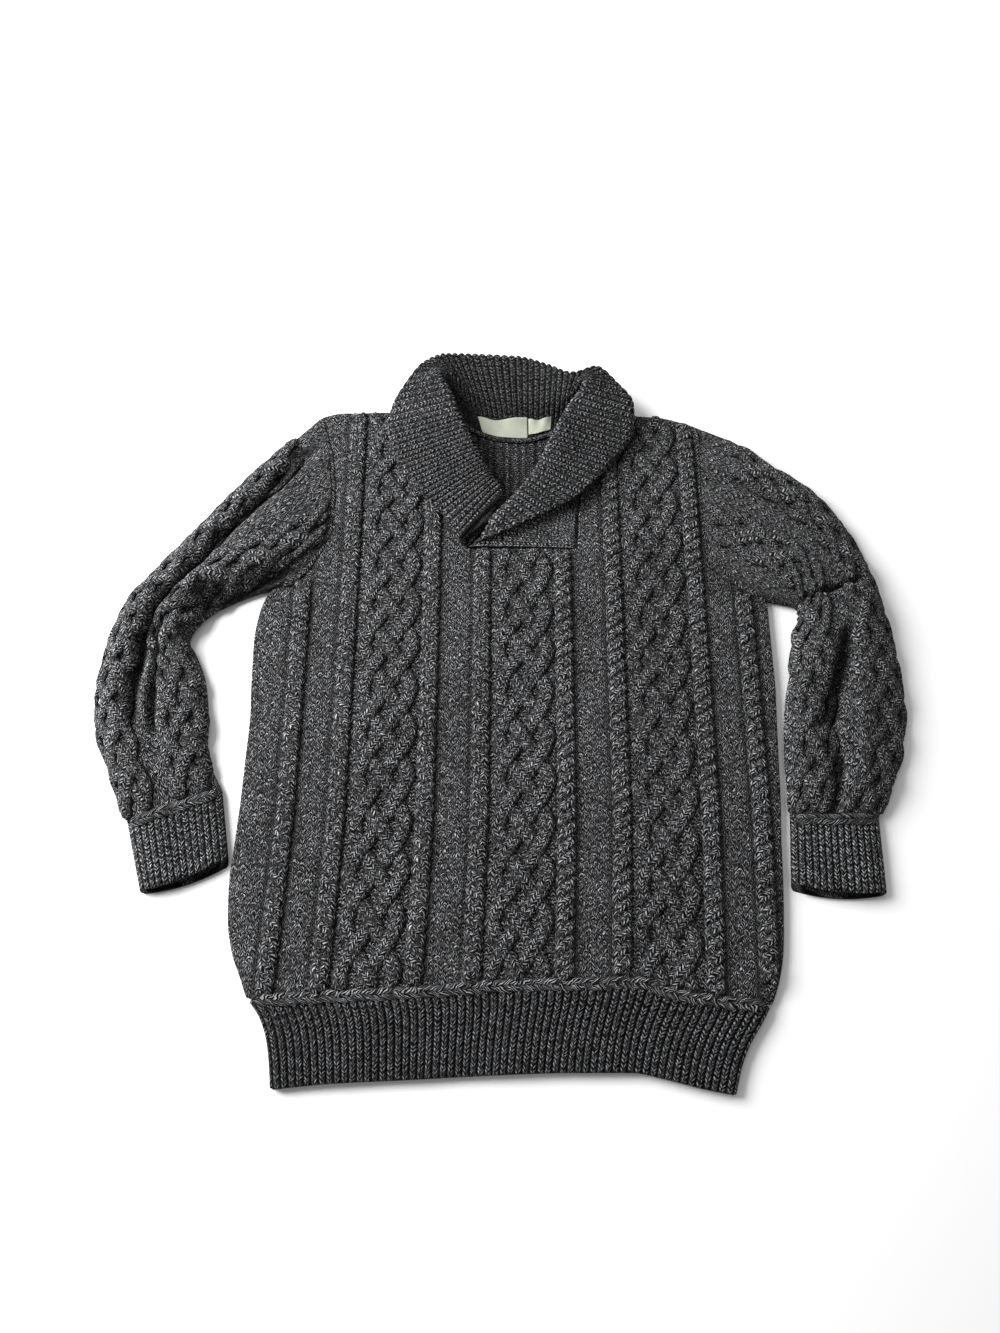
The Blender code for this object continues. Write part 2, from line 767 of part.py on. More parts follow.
def cut_slit(thing, cutter):
    """Cuts the hollow out of a sleeve or a cuff, and keeps the cutter out of sight."""
    cutter.hide_render = True
    cutter.display_type = "WIRE"
    cut = thing.modifiers.new("slit", "BOOLEAN")
    cut.operation = "DIFFERENCE"
    cut.solver = "EXACT"
    cut.object = cutter


def build_arm(side, collection, cutters):
    """A sleeve and its cuff, each a flattened tube that is open at both ends."""
    sleeve, cuff = Sleeve(side), Cuff(side)
    form = padded_solid(len(sleeve.seam) - 1, SLEEVE_ROWS, sleeve.solid_point)
    sleeve_thing = new_object("sleeve_" + side, form, collection, MARL, KNIT_ROUGHNESS)
    hollow = padded_solid(6, 16, sleeve.slit_point)
    cut_slit(sleeve_thing, new_object("slit_sleeve_" + side, hollow, cutters))
    form = padded_solid(CUFF_RIBS * 2, len(CUFF_ROWS) - 1, cuff.solid_point)
    cuff_thing = new_object("cuff_" + side, form, collection, RIB_MARL, KNIT_ROUGHNESS)
    hollow = padded_solid(6, 1, cuff.slit_point)
    cut_slit(cuff_thing, new_object("slit_cuff_" + side, hollow, cutters))


class Collar:
    """The shawl collar's middle surface, read at a place along the seam and up the band."""

    def __init__(self):
        rows = [self.section(*row) for row in COLLAR_ROWS]
        places = [0.0]
        for before, after in zip(rows, rows[1:]):
            seam = (Vector(after[0]) - Vector(before[0])).length
            edge = (Vector(after[-1]) - Vector(before[-1])).length
            places.append(places[-1] + max(SHORTEST_STEP, (seam + edge) / 2))
        flat = [
            (place / places[-1], *(value for point in row for value in point))
            for place, row in zip(places, rows)
        ]
        self.curve = Curve(flat)
        self.steps = len(rows[0]) - 1

    def section(self, seam, crest, edge, drop):
        """The points up one section: the lower leg, the rounded crest and the upper leg."""
        seam, crest, edge = Vector(seam), Vector(crest), Vector(edge)
        out = (crest - seam).to_2d().normalized().to_3d() * FOLD_REACH
        back = (edge - crest).to_2d().normalized().to_3d() * FOLD_REACH
        low = crest - out - Vector((0, 0, drop))
        tip = crest - Vector((0, 0, drop / 2))
        high = crest + back
        if drop < FOLD_REACH / 2:
            low.z = mix(seam.z, crest.z, 1.0 - FOLD_REACH / (crest - seam).length)
            high.z = mix(crest.z, edge.z, FOLD_REACH / (edge - crest).length)
        middle_low = (seam + low) / 2
        middle_low.z = mix(seam.z, low.z, LOWER_LEG_SAG)
        middle_high = (high + edge) / 2
        return seam, middle_low, low, tip, high, middle_high, edge

    def centre(self, along, up):
        """A point of the middle surface; up goes from 0 at the seam to 1 at the free edge."""
        values = self.curve.at(along)
        place = min(self.steps - 1e-6, max(0.0, up * self.steps))
        index = int(place)
        first = Vector(values[3 * index : 3 * index + 3])
        second = Vector(values[3 * index + 3 : 3 * index + 6])
        return first.lerp(second, place - index)

    def normal(self, along, up):
        """The direction out of the face that turns outward on the flaps."""
        before, after = max(0.0, along - READ_ALONG), min(1.0, along + READ_ALONG)
        low, high = max(0.0, up - READ_UP), min(1.0, up + READ_UP)
        along_way = self.centre(after, up) - self.centre(before, up)
        up_way = self.centre(along, high) - self.centre(along, low)
        return along_way.cross(up_way).normalized()

    def room(self, along, up):
        """One where the ribs have their full width, and less where the band crowds them."""
        step = 1.0 / (2 * COLLAR_RIBS)
        before, after = max(0.0, along - step), min(1.0, along + step)
        width = (self.centre(after, up) - self.centre(before, up)).length / (after - before)
        return min(1.0, max(CROWDED_LEAST, width * step / CROWDED_COLUMN))

    def place_of(self, x):
        """The place along the back neck where the seam has this x."""
        low, high = BACK_NECK_SPAN
        for _ in range(30):
            middle = (low + high) / 2
            if self.centre(middle, 0.0).x < x:
                low = middle
            else:
                high = middle
        return low


def build_collar(collection):
    """The collar band, waved into ribs and given its thickness."""
    collar = Collar()
    columns = COLLAR_RIBS * 2
    bm, place = cloth_grid(columns, collar.steps)
    thickened = bmesh.ops.extrude_face_region(bm, geom=bm.faces[:])["geom"]
    for item in thickened:
        if isinstance(item, bmesh.types.BMVert):
            item[place] = (item[place].x, item[place].y, LOWER)
    for vert in bm.verts:
        along, up, level = vert[place]
        room = collar.room(along, up)
        wave = COLLAR_WAVE * room**2 * rib_wave(along, COLLAR_RIBS)
        half = COLLAR_WALL / 2 * mix(CROWDED_WALL, 1.0, room)
        out = wave + (half if level == UPPER else -half)
        vert.co = (collar.centre(along, up) + collar.normal(along, up) * out) * MM
    new_object("collar", bm, collection, RIB_MARL, KNIT_ROUGHNESS)
    return collar


def build_label(name, collar, collection):
    """A woven label that lies on the collar's inner face at the back neck."""
    start, end, low, high = LABEL_SPANS[name]
    first, last = collar.place_of(start), collar.place_of(end)
    lift = COLLAR_WALL / 2 + COLLAR_WAVE + LABEL_CLEARANCE

    def point(across, along, level):
        place = mix(first, last, across)
        up = mix(low, high, along) / collar.steps
        out = lift if level == LOWER else lift + LABEL_WALL
        out += LABEL_WAVE * math.sin(math.pi * across) ** 2
        return collar.centre(place, up) + collar.normal(mix(first, last, 0.5), up) * out

    new_object(name, padded_solid(8, 3, point), collection, CREAM, LABEL_ROUGHNESS)


def centre_on_origin(collections):
    """Moves every mesh so that the origin is under the middle of the sweater."""
    points = [vert.co for thing in collections[0].objects for vert in thing.data.vertices]
    low = Vector(min(point[axis] for point in points) for axis in range(3))
    high = Vector(max(point[axis] for point in points) for axis in range(3))
    shift = Vector((-(low.x + high.x) / 2, -(low.y + high.y) / 2, 0.0))
    for collection in collections:
        for thing in collection.objects:
            for vert in thing.data.vertices:
                vert.co += shift


def main():
    """Builds the sweater."""
    for thing in list(bpy.data.objects):
        bpy.data.objects.remove(thing, do_unlink=True)
    sweater = bpy.data.collections.new("aran_sweater")
    cutters = bpy.data.collections.new("cutters")
    for collection in (sweater, cutters):
        bpy.context.scene.collection.children.link(collection)
    build_back(sweater)
    build_front(sweater)
    build_hem(sweater)
    for side in ("left", "right"):
        build_arm(side, sweater, cutters)
    collar = build_collar(sweater)
    for name in LABEL_SPANS:
        build_label(name, collar, sweater)
    centre_on_origin((sweater, cutters))


main()
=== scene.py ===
"""The looks of an aran sweater with a shawl collar, lying front up on a pale surface.

Lengths and tables are in millimetres, measured from a point below the middle of the hem, and
left and right are those of somebody who looks down with the collar at the far side. Every piece
is a thin cloth shell on the form of its solid, with the cables laid on it as rounded strands.
"""

import logging
import math
from collections.abc import Callable
from dataclasses import dataclass
from enum import Enum

import bmesh
import bpy
import numpy as np
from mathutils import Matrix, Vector


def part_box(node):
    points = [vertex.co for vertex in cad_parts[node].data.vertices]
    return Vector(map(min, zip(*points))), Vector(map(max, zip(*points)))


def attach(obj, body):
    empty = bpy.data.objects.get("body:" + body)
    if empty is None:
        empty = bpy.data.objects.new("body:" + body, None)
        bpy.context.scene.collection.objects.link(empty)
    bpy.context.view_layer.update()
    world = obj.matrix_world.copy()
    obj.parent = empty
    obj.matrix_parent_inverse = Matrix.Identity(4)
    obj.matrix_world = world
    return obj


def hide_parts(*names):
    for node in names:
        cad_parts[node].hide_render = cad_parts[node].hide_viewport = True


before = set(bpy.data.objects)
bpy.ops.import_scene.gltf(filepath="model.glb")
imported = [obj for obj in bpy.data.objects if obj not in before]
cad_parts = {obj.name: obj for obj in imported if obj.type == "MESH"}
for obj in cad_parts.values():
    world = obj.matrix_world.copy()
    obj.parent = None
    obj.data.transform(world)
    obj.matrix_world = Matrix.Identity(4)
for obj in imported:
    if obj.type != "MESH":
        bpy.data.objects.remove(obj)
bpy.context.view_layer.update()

log = logging.getLogger("aran_sweater")

Array = np.ndarray
Value = Array | float
Point3 = tuple[Array, Array, Array]
Surface = Callable[[Array, Array], Point3]
Colour = tuple[float, float, float, float]
BMesh = bmesh.types.BMesh

MM = 0.001
MERGE = 0.02 * MM
CLIP_MERGE = 0.2 * MM
# The layers that carry each point's stitches while a piece is made.
SPOT_LAYERS = ("spot_u", "spot_v")

# Heights above the surface, how thick the knitted cloth is, and the gap at a seam.
BACK_TOP = 4.5
FRONT_BASE = 4.8
FRONT_WALL = 4.6
FRONT_EDGE_WALL = 1.7
EDGE_ROLL = 18.0
SEAM_ROLL = 9.0
SEAM_LEVEL = 0.35
HEM_WALL = 4.2
RIM = 2.2
SEAM_GAP = 0.45

# The knitting: the width of a stitch, the height of a row, and the cables' sizes.
STITCH_WIDE = 4.6
STITCH_TALL = 3.75
PLAIT_PERIOD = 46.0
PLAIT_REACH = 25.6
PLAIT_HALF_WIDTH = 32.5
ROPE_PERIOD = 27.0
ROPE_REACH = 4.4
PLAIT_CENTRES = (-140.0, 0.0, 140.0)
PLAIT_PHASES = (-16.0, -8.0, 2.0)
ROPE_CENTRES = (43.0, 97.0, 184.0, 234.0)
MOSS_BANDS = ((54.0, 86.0), (195.5, 223.0), (245.0, 320.0))
ROWS_TO_NECK = 39
ROWS_ABOVE_NECK = 15
ROW_PITCH = PLAIT_PERIOD / 4
BODY_RUN = (ROWS_TO_NECK + ROWS_ABOVE_NECK) * ROW_PITCH
# How far the body's columns reach from the centre line, before its side edges hold them, and the
# share of a column within which they snap to an edge.
BODY_REACH = 290.0
SNAP_SHARE = 0.45

# The wool: its noises, the light ply of its ribs, dimmed as painted shade on the hem and the collar
# and brightened as painted light on the cuffs, and how its moss stitch differs.
WANDER_SCALE = 170.0
DRIFT_UP = 1.6
FIBRE_SCALE = 1000.0
PATCH_SCALE = 30.0
HEM_SHADED_LIGHT_PLY: Colour = (0.27, 0.275, 0.29, 1.0)
COLLAR_SHADED_LIGHT_PLY: Colour = (0.39, 0.395, 0.41, 1.0)
CUFF_LIT_LIGHT_PLY: Colour = (0.52, 0.53, 0.55, 1.0)
MOSS = {"moss": True, "drift": 0.85}

# The centre line of the cables: (height, x).
CENTRE_LINE = ((74, 3), (180, 8), (270, 11), (545, 12), (717, 12))
# The side edges of the body, with the armholes above: (height, left x, right x).
BODY_EDGES = (
    (73, -244, 239), (98, -254, 249), (124, -265, 255), (152, -271, 258), (190, -273, 261),
    (228, -271, 263), (268, -269, 266), (309, -268, 268), (350, -267, 270), (394, -269, 272),
    (438, -270, 272), (466, -267, 272), (481, -263, 272), (493, -257, 253), (502, -238, 242),
    (516, -223, 231), (545, -205, 216), (568, -197.5, 210.5), (601, -196.5, 210),
    (646, -200, 211.5), (677, -207, 209), (717, -220, 202),
)
# The line where the hem is linked on: (x, height).
LINK_LINE = (
    (-262, 80), (-247, 81), (-168, 85), (-83, 89), (3, 95), (71, 96), (116, 97.5), (156, 85.5),
    (190, 81), (240, 75), (260, 73),
)
# The shoulders and the back neckline: (x, height).
SHOULDER_LINE = (
    (-225, 707), (-189, 716), (-135, 717), (12, 717), (107, 714), (170, 709), (206, 700),
)
BACK_NECK = (
    (-74, 716), (-62, 704), (-38, 689), (-12, 680.3), (10, 678.3), (38, 684), (62, 696.5),
    (80, 706.5), (93, 715),
)
# The front's neck opening: (height, left x, right x).
NECK_BOTTOM = 542.0
NECK_SIDES = (
    (542, -47.5, 71.5), (576, -49.5, 73), (613, -58, 77), (658, -71, 87.5), (690, -80.5, 98),
    (704, -83, 101), (712, -80, 98), (718, -73, 92),
)
# The hem: (share of the way down, left x, right x), and its lower edge (x, height).
HEM_SIDES = ((0, -246, 239), (0.2, -234, 229), (0.45, -226, 216), (0.7, -222, 207), (1, -219, 200))
HEM_EDGE = (
    (-219, 3), (-164, 8), (-98, 11), (-14, 15), (53, 17), (109, 17), (136, 12), (169, 4),
    (200, -2),
)
HEM_RIBS = 62
HEM_TOP_WIDTH = 485.0
HEM_WIDTH = 470.0
HEM_DEPTH = 78.0

# The sleeves, from the armhole to the cuff: (inner x, inner y, outer x, outer y, top height).
SLEEVE_STATIONS = {
    "left": (
        (-257, 493, -219, 711, 9.5), (-272, 489.5, -258, 668, 17), (-290, 482, -298, 619, 21),
        (-309, 472, -337, 568, 22), (-328, 456, -375, 519, 24), (-337, 437, -404, 478, 23),
        (-328, 420, -417, 430, 22), (-316, 392, -421, 386, 21), (-309, 352, -417, 345, 19),
        (-306, 314, -403, 306, 17), (-288, 277, -378, 244, 12),
    ),
    "right": (
        (272.5, 481, 203, 703, 9.5), (280, 479.5, 247, 681, 17), (289, 478, 290, 645, 21),
        (298, 476, 331, 611, 22), (304.5, 469, 361, 566, 23), (304, 456, 380, 517, 24),
        (299, 436, 390, 469, 24), (290, 406, 395, 424, 22), (281, 372, 397, 377, 20),
        (275.5, 334, 393, 334, 18), (273.5, 295, 381, 294, 16), (273.5, 250, 361, 250, 12),
    ),
}
SLEEVE_RUN = 34 * ROW_PITCH
ARMPIT_ROW = {"left": 35, "right": 34}
SLEEVE_RIM = 5.0
SLEEVE_INSET = 4.0
SLEEVE_WALL = 4.6
SLEEVE_FLOOR = 9.5
HEAD_FADE = 0.22
# Folds: (half width, depth, ((share along the sleeve, share across it), ...)), a ridge below 0; the
# depth also sets their painted shade.
SLEEVE_FOLDS = {
    "left": (
        (9, 10, (
            (-0.02, 0.8), (0.05, 0.86), (0.11, 0.775), (0.18, 0.69), (0.26, 0.65), (0.35, 0.575),
        )),
        (7, 12, (
            (0.24, 0.66), (0.35, 0.575), (0.53, 0.57), (0.64, 0.62), (0.75, 0.69), (0.87, 0.68),
        )),
        (5, 10, ((0.46, 0.43), (0.57, 0.4), (0.7, 0.455), (0.76, 0.495), (0.88, 0.48))),
        (8, 10, ((0.02, 0.1), (0.1, 0.08), (0.2, 0.02), (0.32, 0.12), (0.42, 0.06))),
        (9, -7, (
            (0.06, 0.33), (0.14, 0.21), (0.18, 0.17), (0.29, 0.33), (0.36, 0.39), (0.5, 0.45),
        )),
        (8, -3, ((0.5, 0.84), (0.7, 0.86), (0.98, 0.86))),
    ),
    "right": (
        (7, 11, (
            (0.3, -0.04), (0.35, 0.075), (0.4, 0.26), (0.438, 0.446), (0.46, 0.73), (0.49, 0.86),
        )),
        (9, 12, ((0.54, 0.57), (0.61, 0.53), (0.67, 0.46), (0.74, 0.4), (0.82, 0.36))),
        (9, 6, ((0.62, 0.46), (0.78, 0.36), (0.87, 0.42), (0.97, 0.46))),
        (5, 12, ((0.86, 0.49), (0.95, 0.47), (1.06, 0.4))),
        (8, 5, ((-0.02, 0.68), (0.14, 0.7), (0.3, 0.74), (0.4, 0.72))),
        (6, 4, ((0.28, 0.88), (0.33, 0.917), (0.38, 0.95), (0.43, 0.99))),
        (8, -4, ((0.5, 0.7), (0.7, 0.66), (0.98, 0.66))),
    ),
}

# The second plait of each sleeve: (share along, middle from the outer edge, share of its width).
PLAIT_COURSES = {
    "left": (
        (0.0, 138, 1.2), (0.1, 126, 1.2), (0.17, 112, 1.15), (0.28, 76, 1.05), (0.38, 57, 0.9),
        (0.5, 50, 0.8), (0.62, 66, 0.85), (0.76, 84, 0.9), (1.0, 68, 0.85),
    ),
    "right": (
        (0.0, 138, 1.2), (0.15, 122, 1.15), (0.3, 98, 1.05), (0.45, 82, 0.85), (0.6, 86, 0.85),
        (0.8, 88, 0.85), (1.0, 72, 0.85),
    ),
}
# The plait on each sleeve's outer fold, in the same way.
EDGE_COURSES = {
    "left": ((0.0, 22, 1.2), (0.25, 17, 1.15), (0.4, 10, 1.0), (0.55, 8, 0.95), (1.0, 14, 0.85)),
    "right": ((0.0, 34, 1.2), (0.2, 27, 1.15), (0.4, 17, 1.05), (0.6, 14, 1.0), (1.0, 18, 0.85)),
}

# The cuffs: (inner x, inner y, outer x, outer y) at the sleeve and at the mouth.
CUFF_ENDS = {
    "left": ((-288, 276.5, -378, 243.5), (-276, 211, -358, 179)),
    "right": ((273.5, 249.5, 361, 249.5), (268.5, 187, 359.5, 178)),
}
CUFF_RIBS = 14
CUFF_TOP = 12.5
CUFF_FLOOR = 3.6
CUFF_LAYER_STEP = 5.0
CUFF_BULGE = 5.0

# The collar, each row: seam (x, y, z), crest (x, y, z), free edge (x, y, z), drop of the fold.
COLLAR_ROWS = (
    ((-46.8, 546, 7.8), (-24, 573, 14), (-57, 549, 13), 5),
    ((-46.6, 552, 8.2), (-12, 607, 22), (-56, 554, 18.5), 8),
    ((-48.2, 572, 8.2), (-21, 622, 25), (-74, 579, 18.5), 8),
    ((-53.2, 603, 8.2), (-31, 640, 28), (-97, 604, 18.5), 8),
    ((-63, 640, 8.2), (-42, 662, 31), (-118, 636, 19), 8),
    ((-71, 668, 8.2), (-52, 682, 33), (-131, 660, 20), 8),
    ((-76.5, 690, 8.2), (-60, 702, 35), (-138, 688, 21.5), 8),
    ((-77, 702, 8.2), (-68, 724, 36), (-133, 714, 24), 8),
    ((-70.5, 711, 7.5), (-77, 746, 36), (-119, 740, 29), 6),
    ((-59, 706.5, 5.5), (-70, 756, 31), (-99, 765, 34), 2),
    ((-38, 692, 4.0), (-52, 742, 20), (-72, 778, 32), 0),
    ((-12, 683, 3.6), (-22, 730, 14), (-34, 779, 29), 0),
    ((10, 681, 3.6), (8, 728, 13), (6, 778, 27), 0),
    ((38, 687, 4.0), (40, 727, 16), (42, 766, 29), 0),
    ((60, 698.5, 5.0), (65, 730, 24), (70, 753, 32), 1),
    ((76, 708, 6.5), (79, 744, 34), (97, 760, 33), 3),
    ((88, 711, 7.5), (84, 741, 37), (121, 741, 28), 6),
    ((95, 703, 8.2), (79, 727, 37), (138, 717, 24), 8),
    ((93.5, 688, 8.2), (66, 707, 36), (139, 693, 22), 8),
    ((87.5, 664, 8.2), (54, 684, 34), (130, 666, 20.5), 8),
    ((79.5, 634, 8.2), (42, 659, 31), (110, 642, 19.5), 8),
    ((74.4, 602, 8.2), (27, 629, 29), (79, 606, 20), 8),
    ((72, 576, 8.2), (5, 601, 25), (38, 581, 20), 8),
    ((71, 559, 8.2), (-20, 575, 20), (-6, 559, 19), 8),
    ((70.8, 543.2, 8.2), (-34, 545, 8.8), (-45.4, 545.4, 9.2), 0),
)
COLLAR_RIBS = 100
COLLAR_WALL = 3.8
COLLAR_WAVE = 1.0
CROWDED_COLUMN = 2.5
FOLD_REACH = 5.0
LOWER_LEG_SAG = 0.25

# The labels: start and end along the collar as x, start and end of the way up, how far the top
# edge sags at the start, and the flat size in metres.
LABELS = {
    "neck_label": (-31.5, 19.4, 0.1, 1.25, 0.3, (0.052, 0.022)),
    "size_tab": (20.4, 45.0, 0.3, 1.15, 0.0, (0.025, 0.018)),
}


def mix(first: Value, second: Value, share: Value) -> Value:
    """The value between two values."""
    return first + (second - first) * share


def smooth_step(value: Array) -> Array:
    """Rises softly from 0 to 1 while the value goes from 0 to 1."""
    share = np.clip(value, 0.0, 1.0)
    return share * share * (3.0 - 2.0 * share)


def roll(distance: Array, reach: float) -> Array:
    """How far the cloth has risen at a distance from an edge that rolls down."""
    share = np.clip(distance / reach, 0.0, 1.0)
    return np.sqrt(1.0 - (1.0 - share) ** 2)


def unit(ways: Array) -> Array:
    """The directions of vectors."""
    return ways / np.maximum(np.linalg.norm(ways, axis=-1, keepdims=True), 1e-9)


def path_length(points: Array) -> Array:
    """The millimetres along a path, or along each of several, up to each of its points."""
    steps = np.linalg.norm(np.diff(points, axis=0), axis=-1)
    return np.concatenate([np.zeros_like(steps[:1]), np.cumsum(steps, axis=0)])


def sideways(x: Array, y: Array) -> tuple[Array, Array]:
    """The direction to the right of a path in plan, at each of its points."""
    way_x, way_y = np.gradient(x), np.gradient(y)
    step = np.hypot(way_x, way_y)
    return way_y / step, -way_x / step


class Curve:
    """A smooth curve through the rows of a table, which never swings past them."""

    def __init__(self, rows: tuple | list) -> None:
        """Reads the rows: a place along the curve, then the values there."""
        table = np.asarray(rows, dtype=float)
        self.places, self.values = table[:, 0], table[:, 1:]
        secants = np.diff(self.values, axis=0) / np.diff(self.places)[:, None]
        before, after = secants[:-1], secants[1:]
        same = before * after > 0.0
        inner = np.where(same, 2 * before * after / np.where(same, before + after, 1.0), 0.0)
        self.slopes = np.vstack([secants[:1], inner, secants[-1:]])

    def at(self, place: Value) -> tuple[Array, ...]:
        """The values at the places; past the ends the curve goes on straight.

        Args:
            place: One place or an array of them.

        Returns:
            One array for each value of the table's rows.
        """
        place = np.asarray(place, dtype=float)
        last = len(self.places) - 2
        index = np.clip(np.searchsorted(self.places, place, side="right") - 1, 0, last)
        run = self.places[index + 1] - self.places[index]
        share = (place - self.places[index]) / run
        held = np.clip(share, 0.0, 1.0)
        past = (share - held) * run
        square, cube = held**2, held**3
        result = []
        for part in range(self.values.shape[1]):
            first, second = self.values[index, part], self.values[index + 1, part]
            leave, arrive = self.slopes[index, part], self.slopes[index + 1, part]
            value = first * (2 * cube - 3 * square + 1) + second * (3 * square - 2 * cube)
            value = value + run * (leave * (cube - 2 * square + held) + arrive * (cube - square))
            result.append(value + past * np.where(share < 0.0, leave, arrive))
        return tuple(result)


CENTRE = Curve(CENTRE_LINE)
EDGES = Curve(BODY_EDGES)
LINK = Curve(LINK_LINE)
SHOULDERS = Curve(SHOULDER_LINE)
NECK_BACK = Curve(BACK_NECK)
NECK_FRONT = Curve(NECK_SIDES)
HEM_SIDE_CURVE = Curve(HEM_SIDES)
HEM_EDGE_CURVE = Curve(HEM_EDGE)


@dataclass(frozen=True)
class Placing:
    """Moves the tables' millimetres into the frame's metres."""

    right: float
    up: float

    @classmethod
    def from_frame(cls) -> "Placing":
        """Reads the shift from the hem, whose corner the tables give."""
        low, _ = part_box("hem_front")
        return cls(low.x / MM - HEM_SIDES[0][1], low.y / MM - min(row[1] for row in HEM_EDGE))

    def metres(self, points: Array) -> Array:
        """The points, in the frame."""
        return (points + np.array([self.right, self.up, 0.0])) * MM


PLACING = Placing.from_frame()


# --------------------------------------------------------------------------------------------
# Finishes
# --------------------------------------------------------------------------------------------


def operator(operation: str, turned: bool = False) -> Callable[..., "Term"]:
    """Makes an operator of Term.

    Args:
        operation: The Math node's operation.
        turned: Whether the other value comes first.

    Returns:
        The operator, which takes the other values of the operation.
    """

    def apply(self: "Term", *others: object) -> "Term":
        """Sends the values through a Math node."""
        values = (self, *others)[::-1] if turned else (self, *others)
        return self.tree.term("ShaderNodeMath", {"operation": operation}, dict(enumerate(values)))

    return apply


class Term:
    """A value in a material: a socket or a number, with the usual arithmetic."""

    __add__ = __radd__ = operator("ADD")
    __mul__ = __rmul__ = operator("MULTIPLY")
    __sub__, __rsub__ = operator("SUBTRACT"), operator("SUBTRACT", turned=True)
    __truediv__, __rtruediv__ = operator("DIVIDE"), operator("DIVIDE", turned=True)
    # The whole number below, what is over it, and the value without its sign.
    floor, part, size = operator("FLOOR"), operator("FRACT"), operator("ABSOLUTE")
    # One where it is over a limit, and the rest of a division, which is never negative.
    above, modulo = operator("GREATER_THAN"), operator("FLOORED_MODULO")
    _at_least, _power, _sine = operator("MAXIMUM"), operator("POWER"), operator("SINE")

    def __init__(self, tree: "NodeTree", value: object) -> None:
        """Wraps a socket or a number of a tree."""
        self.tree = tree
        self.value = value

    def sine(self) -> "Term":
        """The sine of a number of turns."""
        return (self * (2.0 * math.pi))._sine()

    def power(self, exponent: float) -> "Term":
        """The value to a power, after the negative part is cut off."""
        return self._at_least(0.0)._power(exponent)

    def toward(self, other: "Term", share: "Term") -> "Term":
        """This value, moved towards another one by a share."""
        return self + (other - self) * share


class NodeTree:
    """A material's nodes, all made in one way."""

    def __init__(self, name: str) -> None:
        """Makes an empty material of that name with its shader and its output."""
        self.material = bpy.data.materials.new(name)
        self.material.use_nodes = True
        self.tree = self.material.node_tree
        self.tree.nodes.clear()
        self.shader = self.node("ShaderNodeBsdfPrincipled", {}, {})
        self.node("ShaderNodeOutputMaterial", {}, {"Surface": self.shader.outputs["BSDF"]})

    def node(self, kind: str, settings: dict, sockets: dict) -> bpy.types.Node:
        """Makes a node.

        Args:
            kind: The node's type.
            settings: Its settings, which are set first.
            sockets: The values or links of its inputs, by name or number.

        Returns:
            The node.
        """
        node = self.tree.nodes.new(kind)
        for name, value in settings.items():
            setattr(node, name, value)
        self.feed(node, sockets)
        return node

    def feed(self, node: bpy.types.Node, sockets: dict) -> None:
        """Sets or links a node's inputs."""
        for name, value in sockets.items():
            value = getattr(value, "value", value)
            if isinstance(value, bpy.types.NodeSocket):
                self.tree.links.new(value, node.inputs[name])
            else:
                node.inputs[name].default_value = value

    def dress(self, values: dict) -> None:
        """Sets or links the inputs of the shader."""
        self.feed(self.shader, values)

    def term(self, kind: str, settings: dict, sockets: dict, output: str | int = 0) -> Term:
        """Makes a node and wraps one of its outputs."""
        return Term(self, self.node(kind, settings, sockets).outputs[output])

    def split(self, kind: str, value: object) -> list[Term]:
        """The parts of a vector or a colour."""
        return [Term(self, part) for part in self.node(kind, {}, {0: value}).outputs]

    def place(self) -> Term:
        """The place on the object."""
        return self.term("ShaderNodeTexCoord", {}, {}, "Object")

    def mark(self, name: str) -> Term:
        """The value of a point attribute."""
        return self.term("ShaderNodeAttribute", {"attribute_name": name}, {}, "Fac")

    def vector(self, x: object, y: object, z: object = 0.0) -> Term:
        """A vector from three values."""
        return self.term("ShaderNodeCombineXYZ", {}, {0: x, 1: y, 2: z})

    def cloud(self, place: Term, scale: float, detail: float, output: str | int = 0) -> Term:
        """Soft noise."""
        sockets = {"Vector": place, "Scale": scale, "Detail": detail}
        return self.term("ShaderNodeTexNoise", {}, sockets, output)

    def luck(self, cell: Term, second: float | None = None) -> Term:
        """A chance value of each cell; a second number gives it another one."""
        if second is None:
            settings, sockets = {"noise_dimensions": "3D"}, {"Vector": cell}
        else:
            settings, sockets = {"noise_dimensions": "4D"}, {"Vector": cell, "W": second}
        return self.term("ShaderNodeTexWhiteNoise", settings, sockets)

    def bump(self, strength: float, depth: float, height: Term) -> Term:
        """The normal of a relief that is a number of millimetres deep."""
        sockets = {"Strength": strength, "Distance": depth * MM, "Height": height}
        return self.term("ShaderNodeBump", {}, sockets)

    def tint(self, first: object, second: object, share: object, blend: str = "MIX") -> Term:
        """Mixes two colours."""
        settings = {"data_type": "RGBA", "blend_type": blend}
        return self.term("ShaderNodeMix", settings, {"Factor": share, 6: first, 7: second}, 2)

    def ramp(self, share: Term, stops: tuple) -> Term:
        """Colours along a ramp of three stops."""
        node = self.node("ShaderNodeValToRGB", {}, {0: share})
        colours = node.color_ramp.elements
        colours.new(stops[1][0])
        for element, (place, colour) in zip(colours, stops):
            element.position, element.color = place, colour
        return Term(self, node.outputs[0])


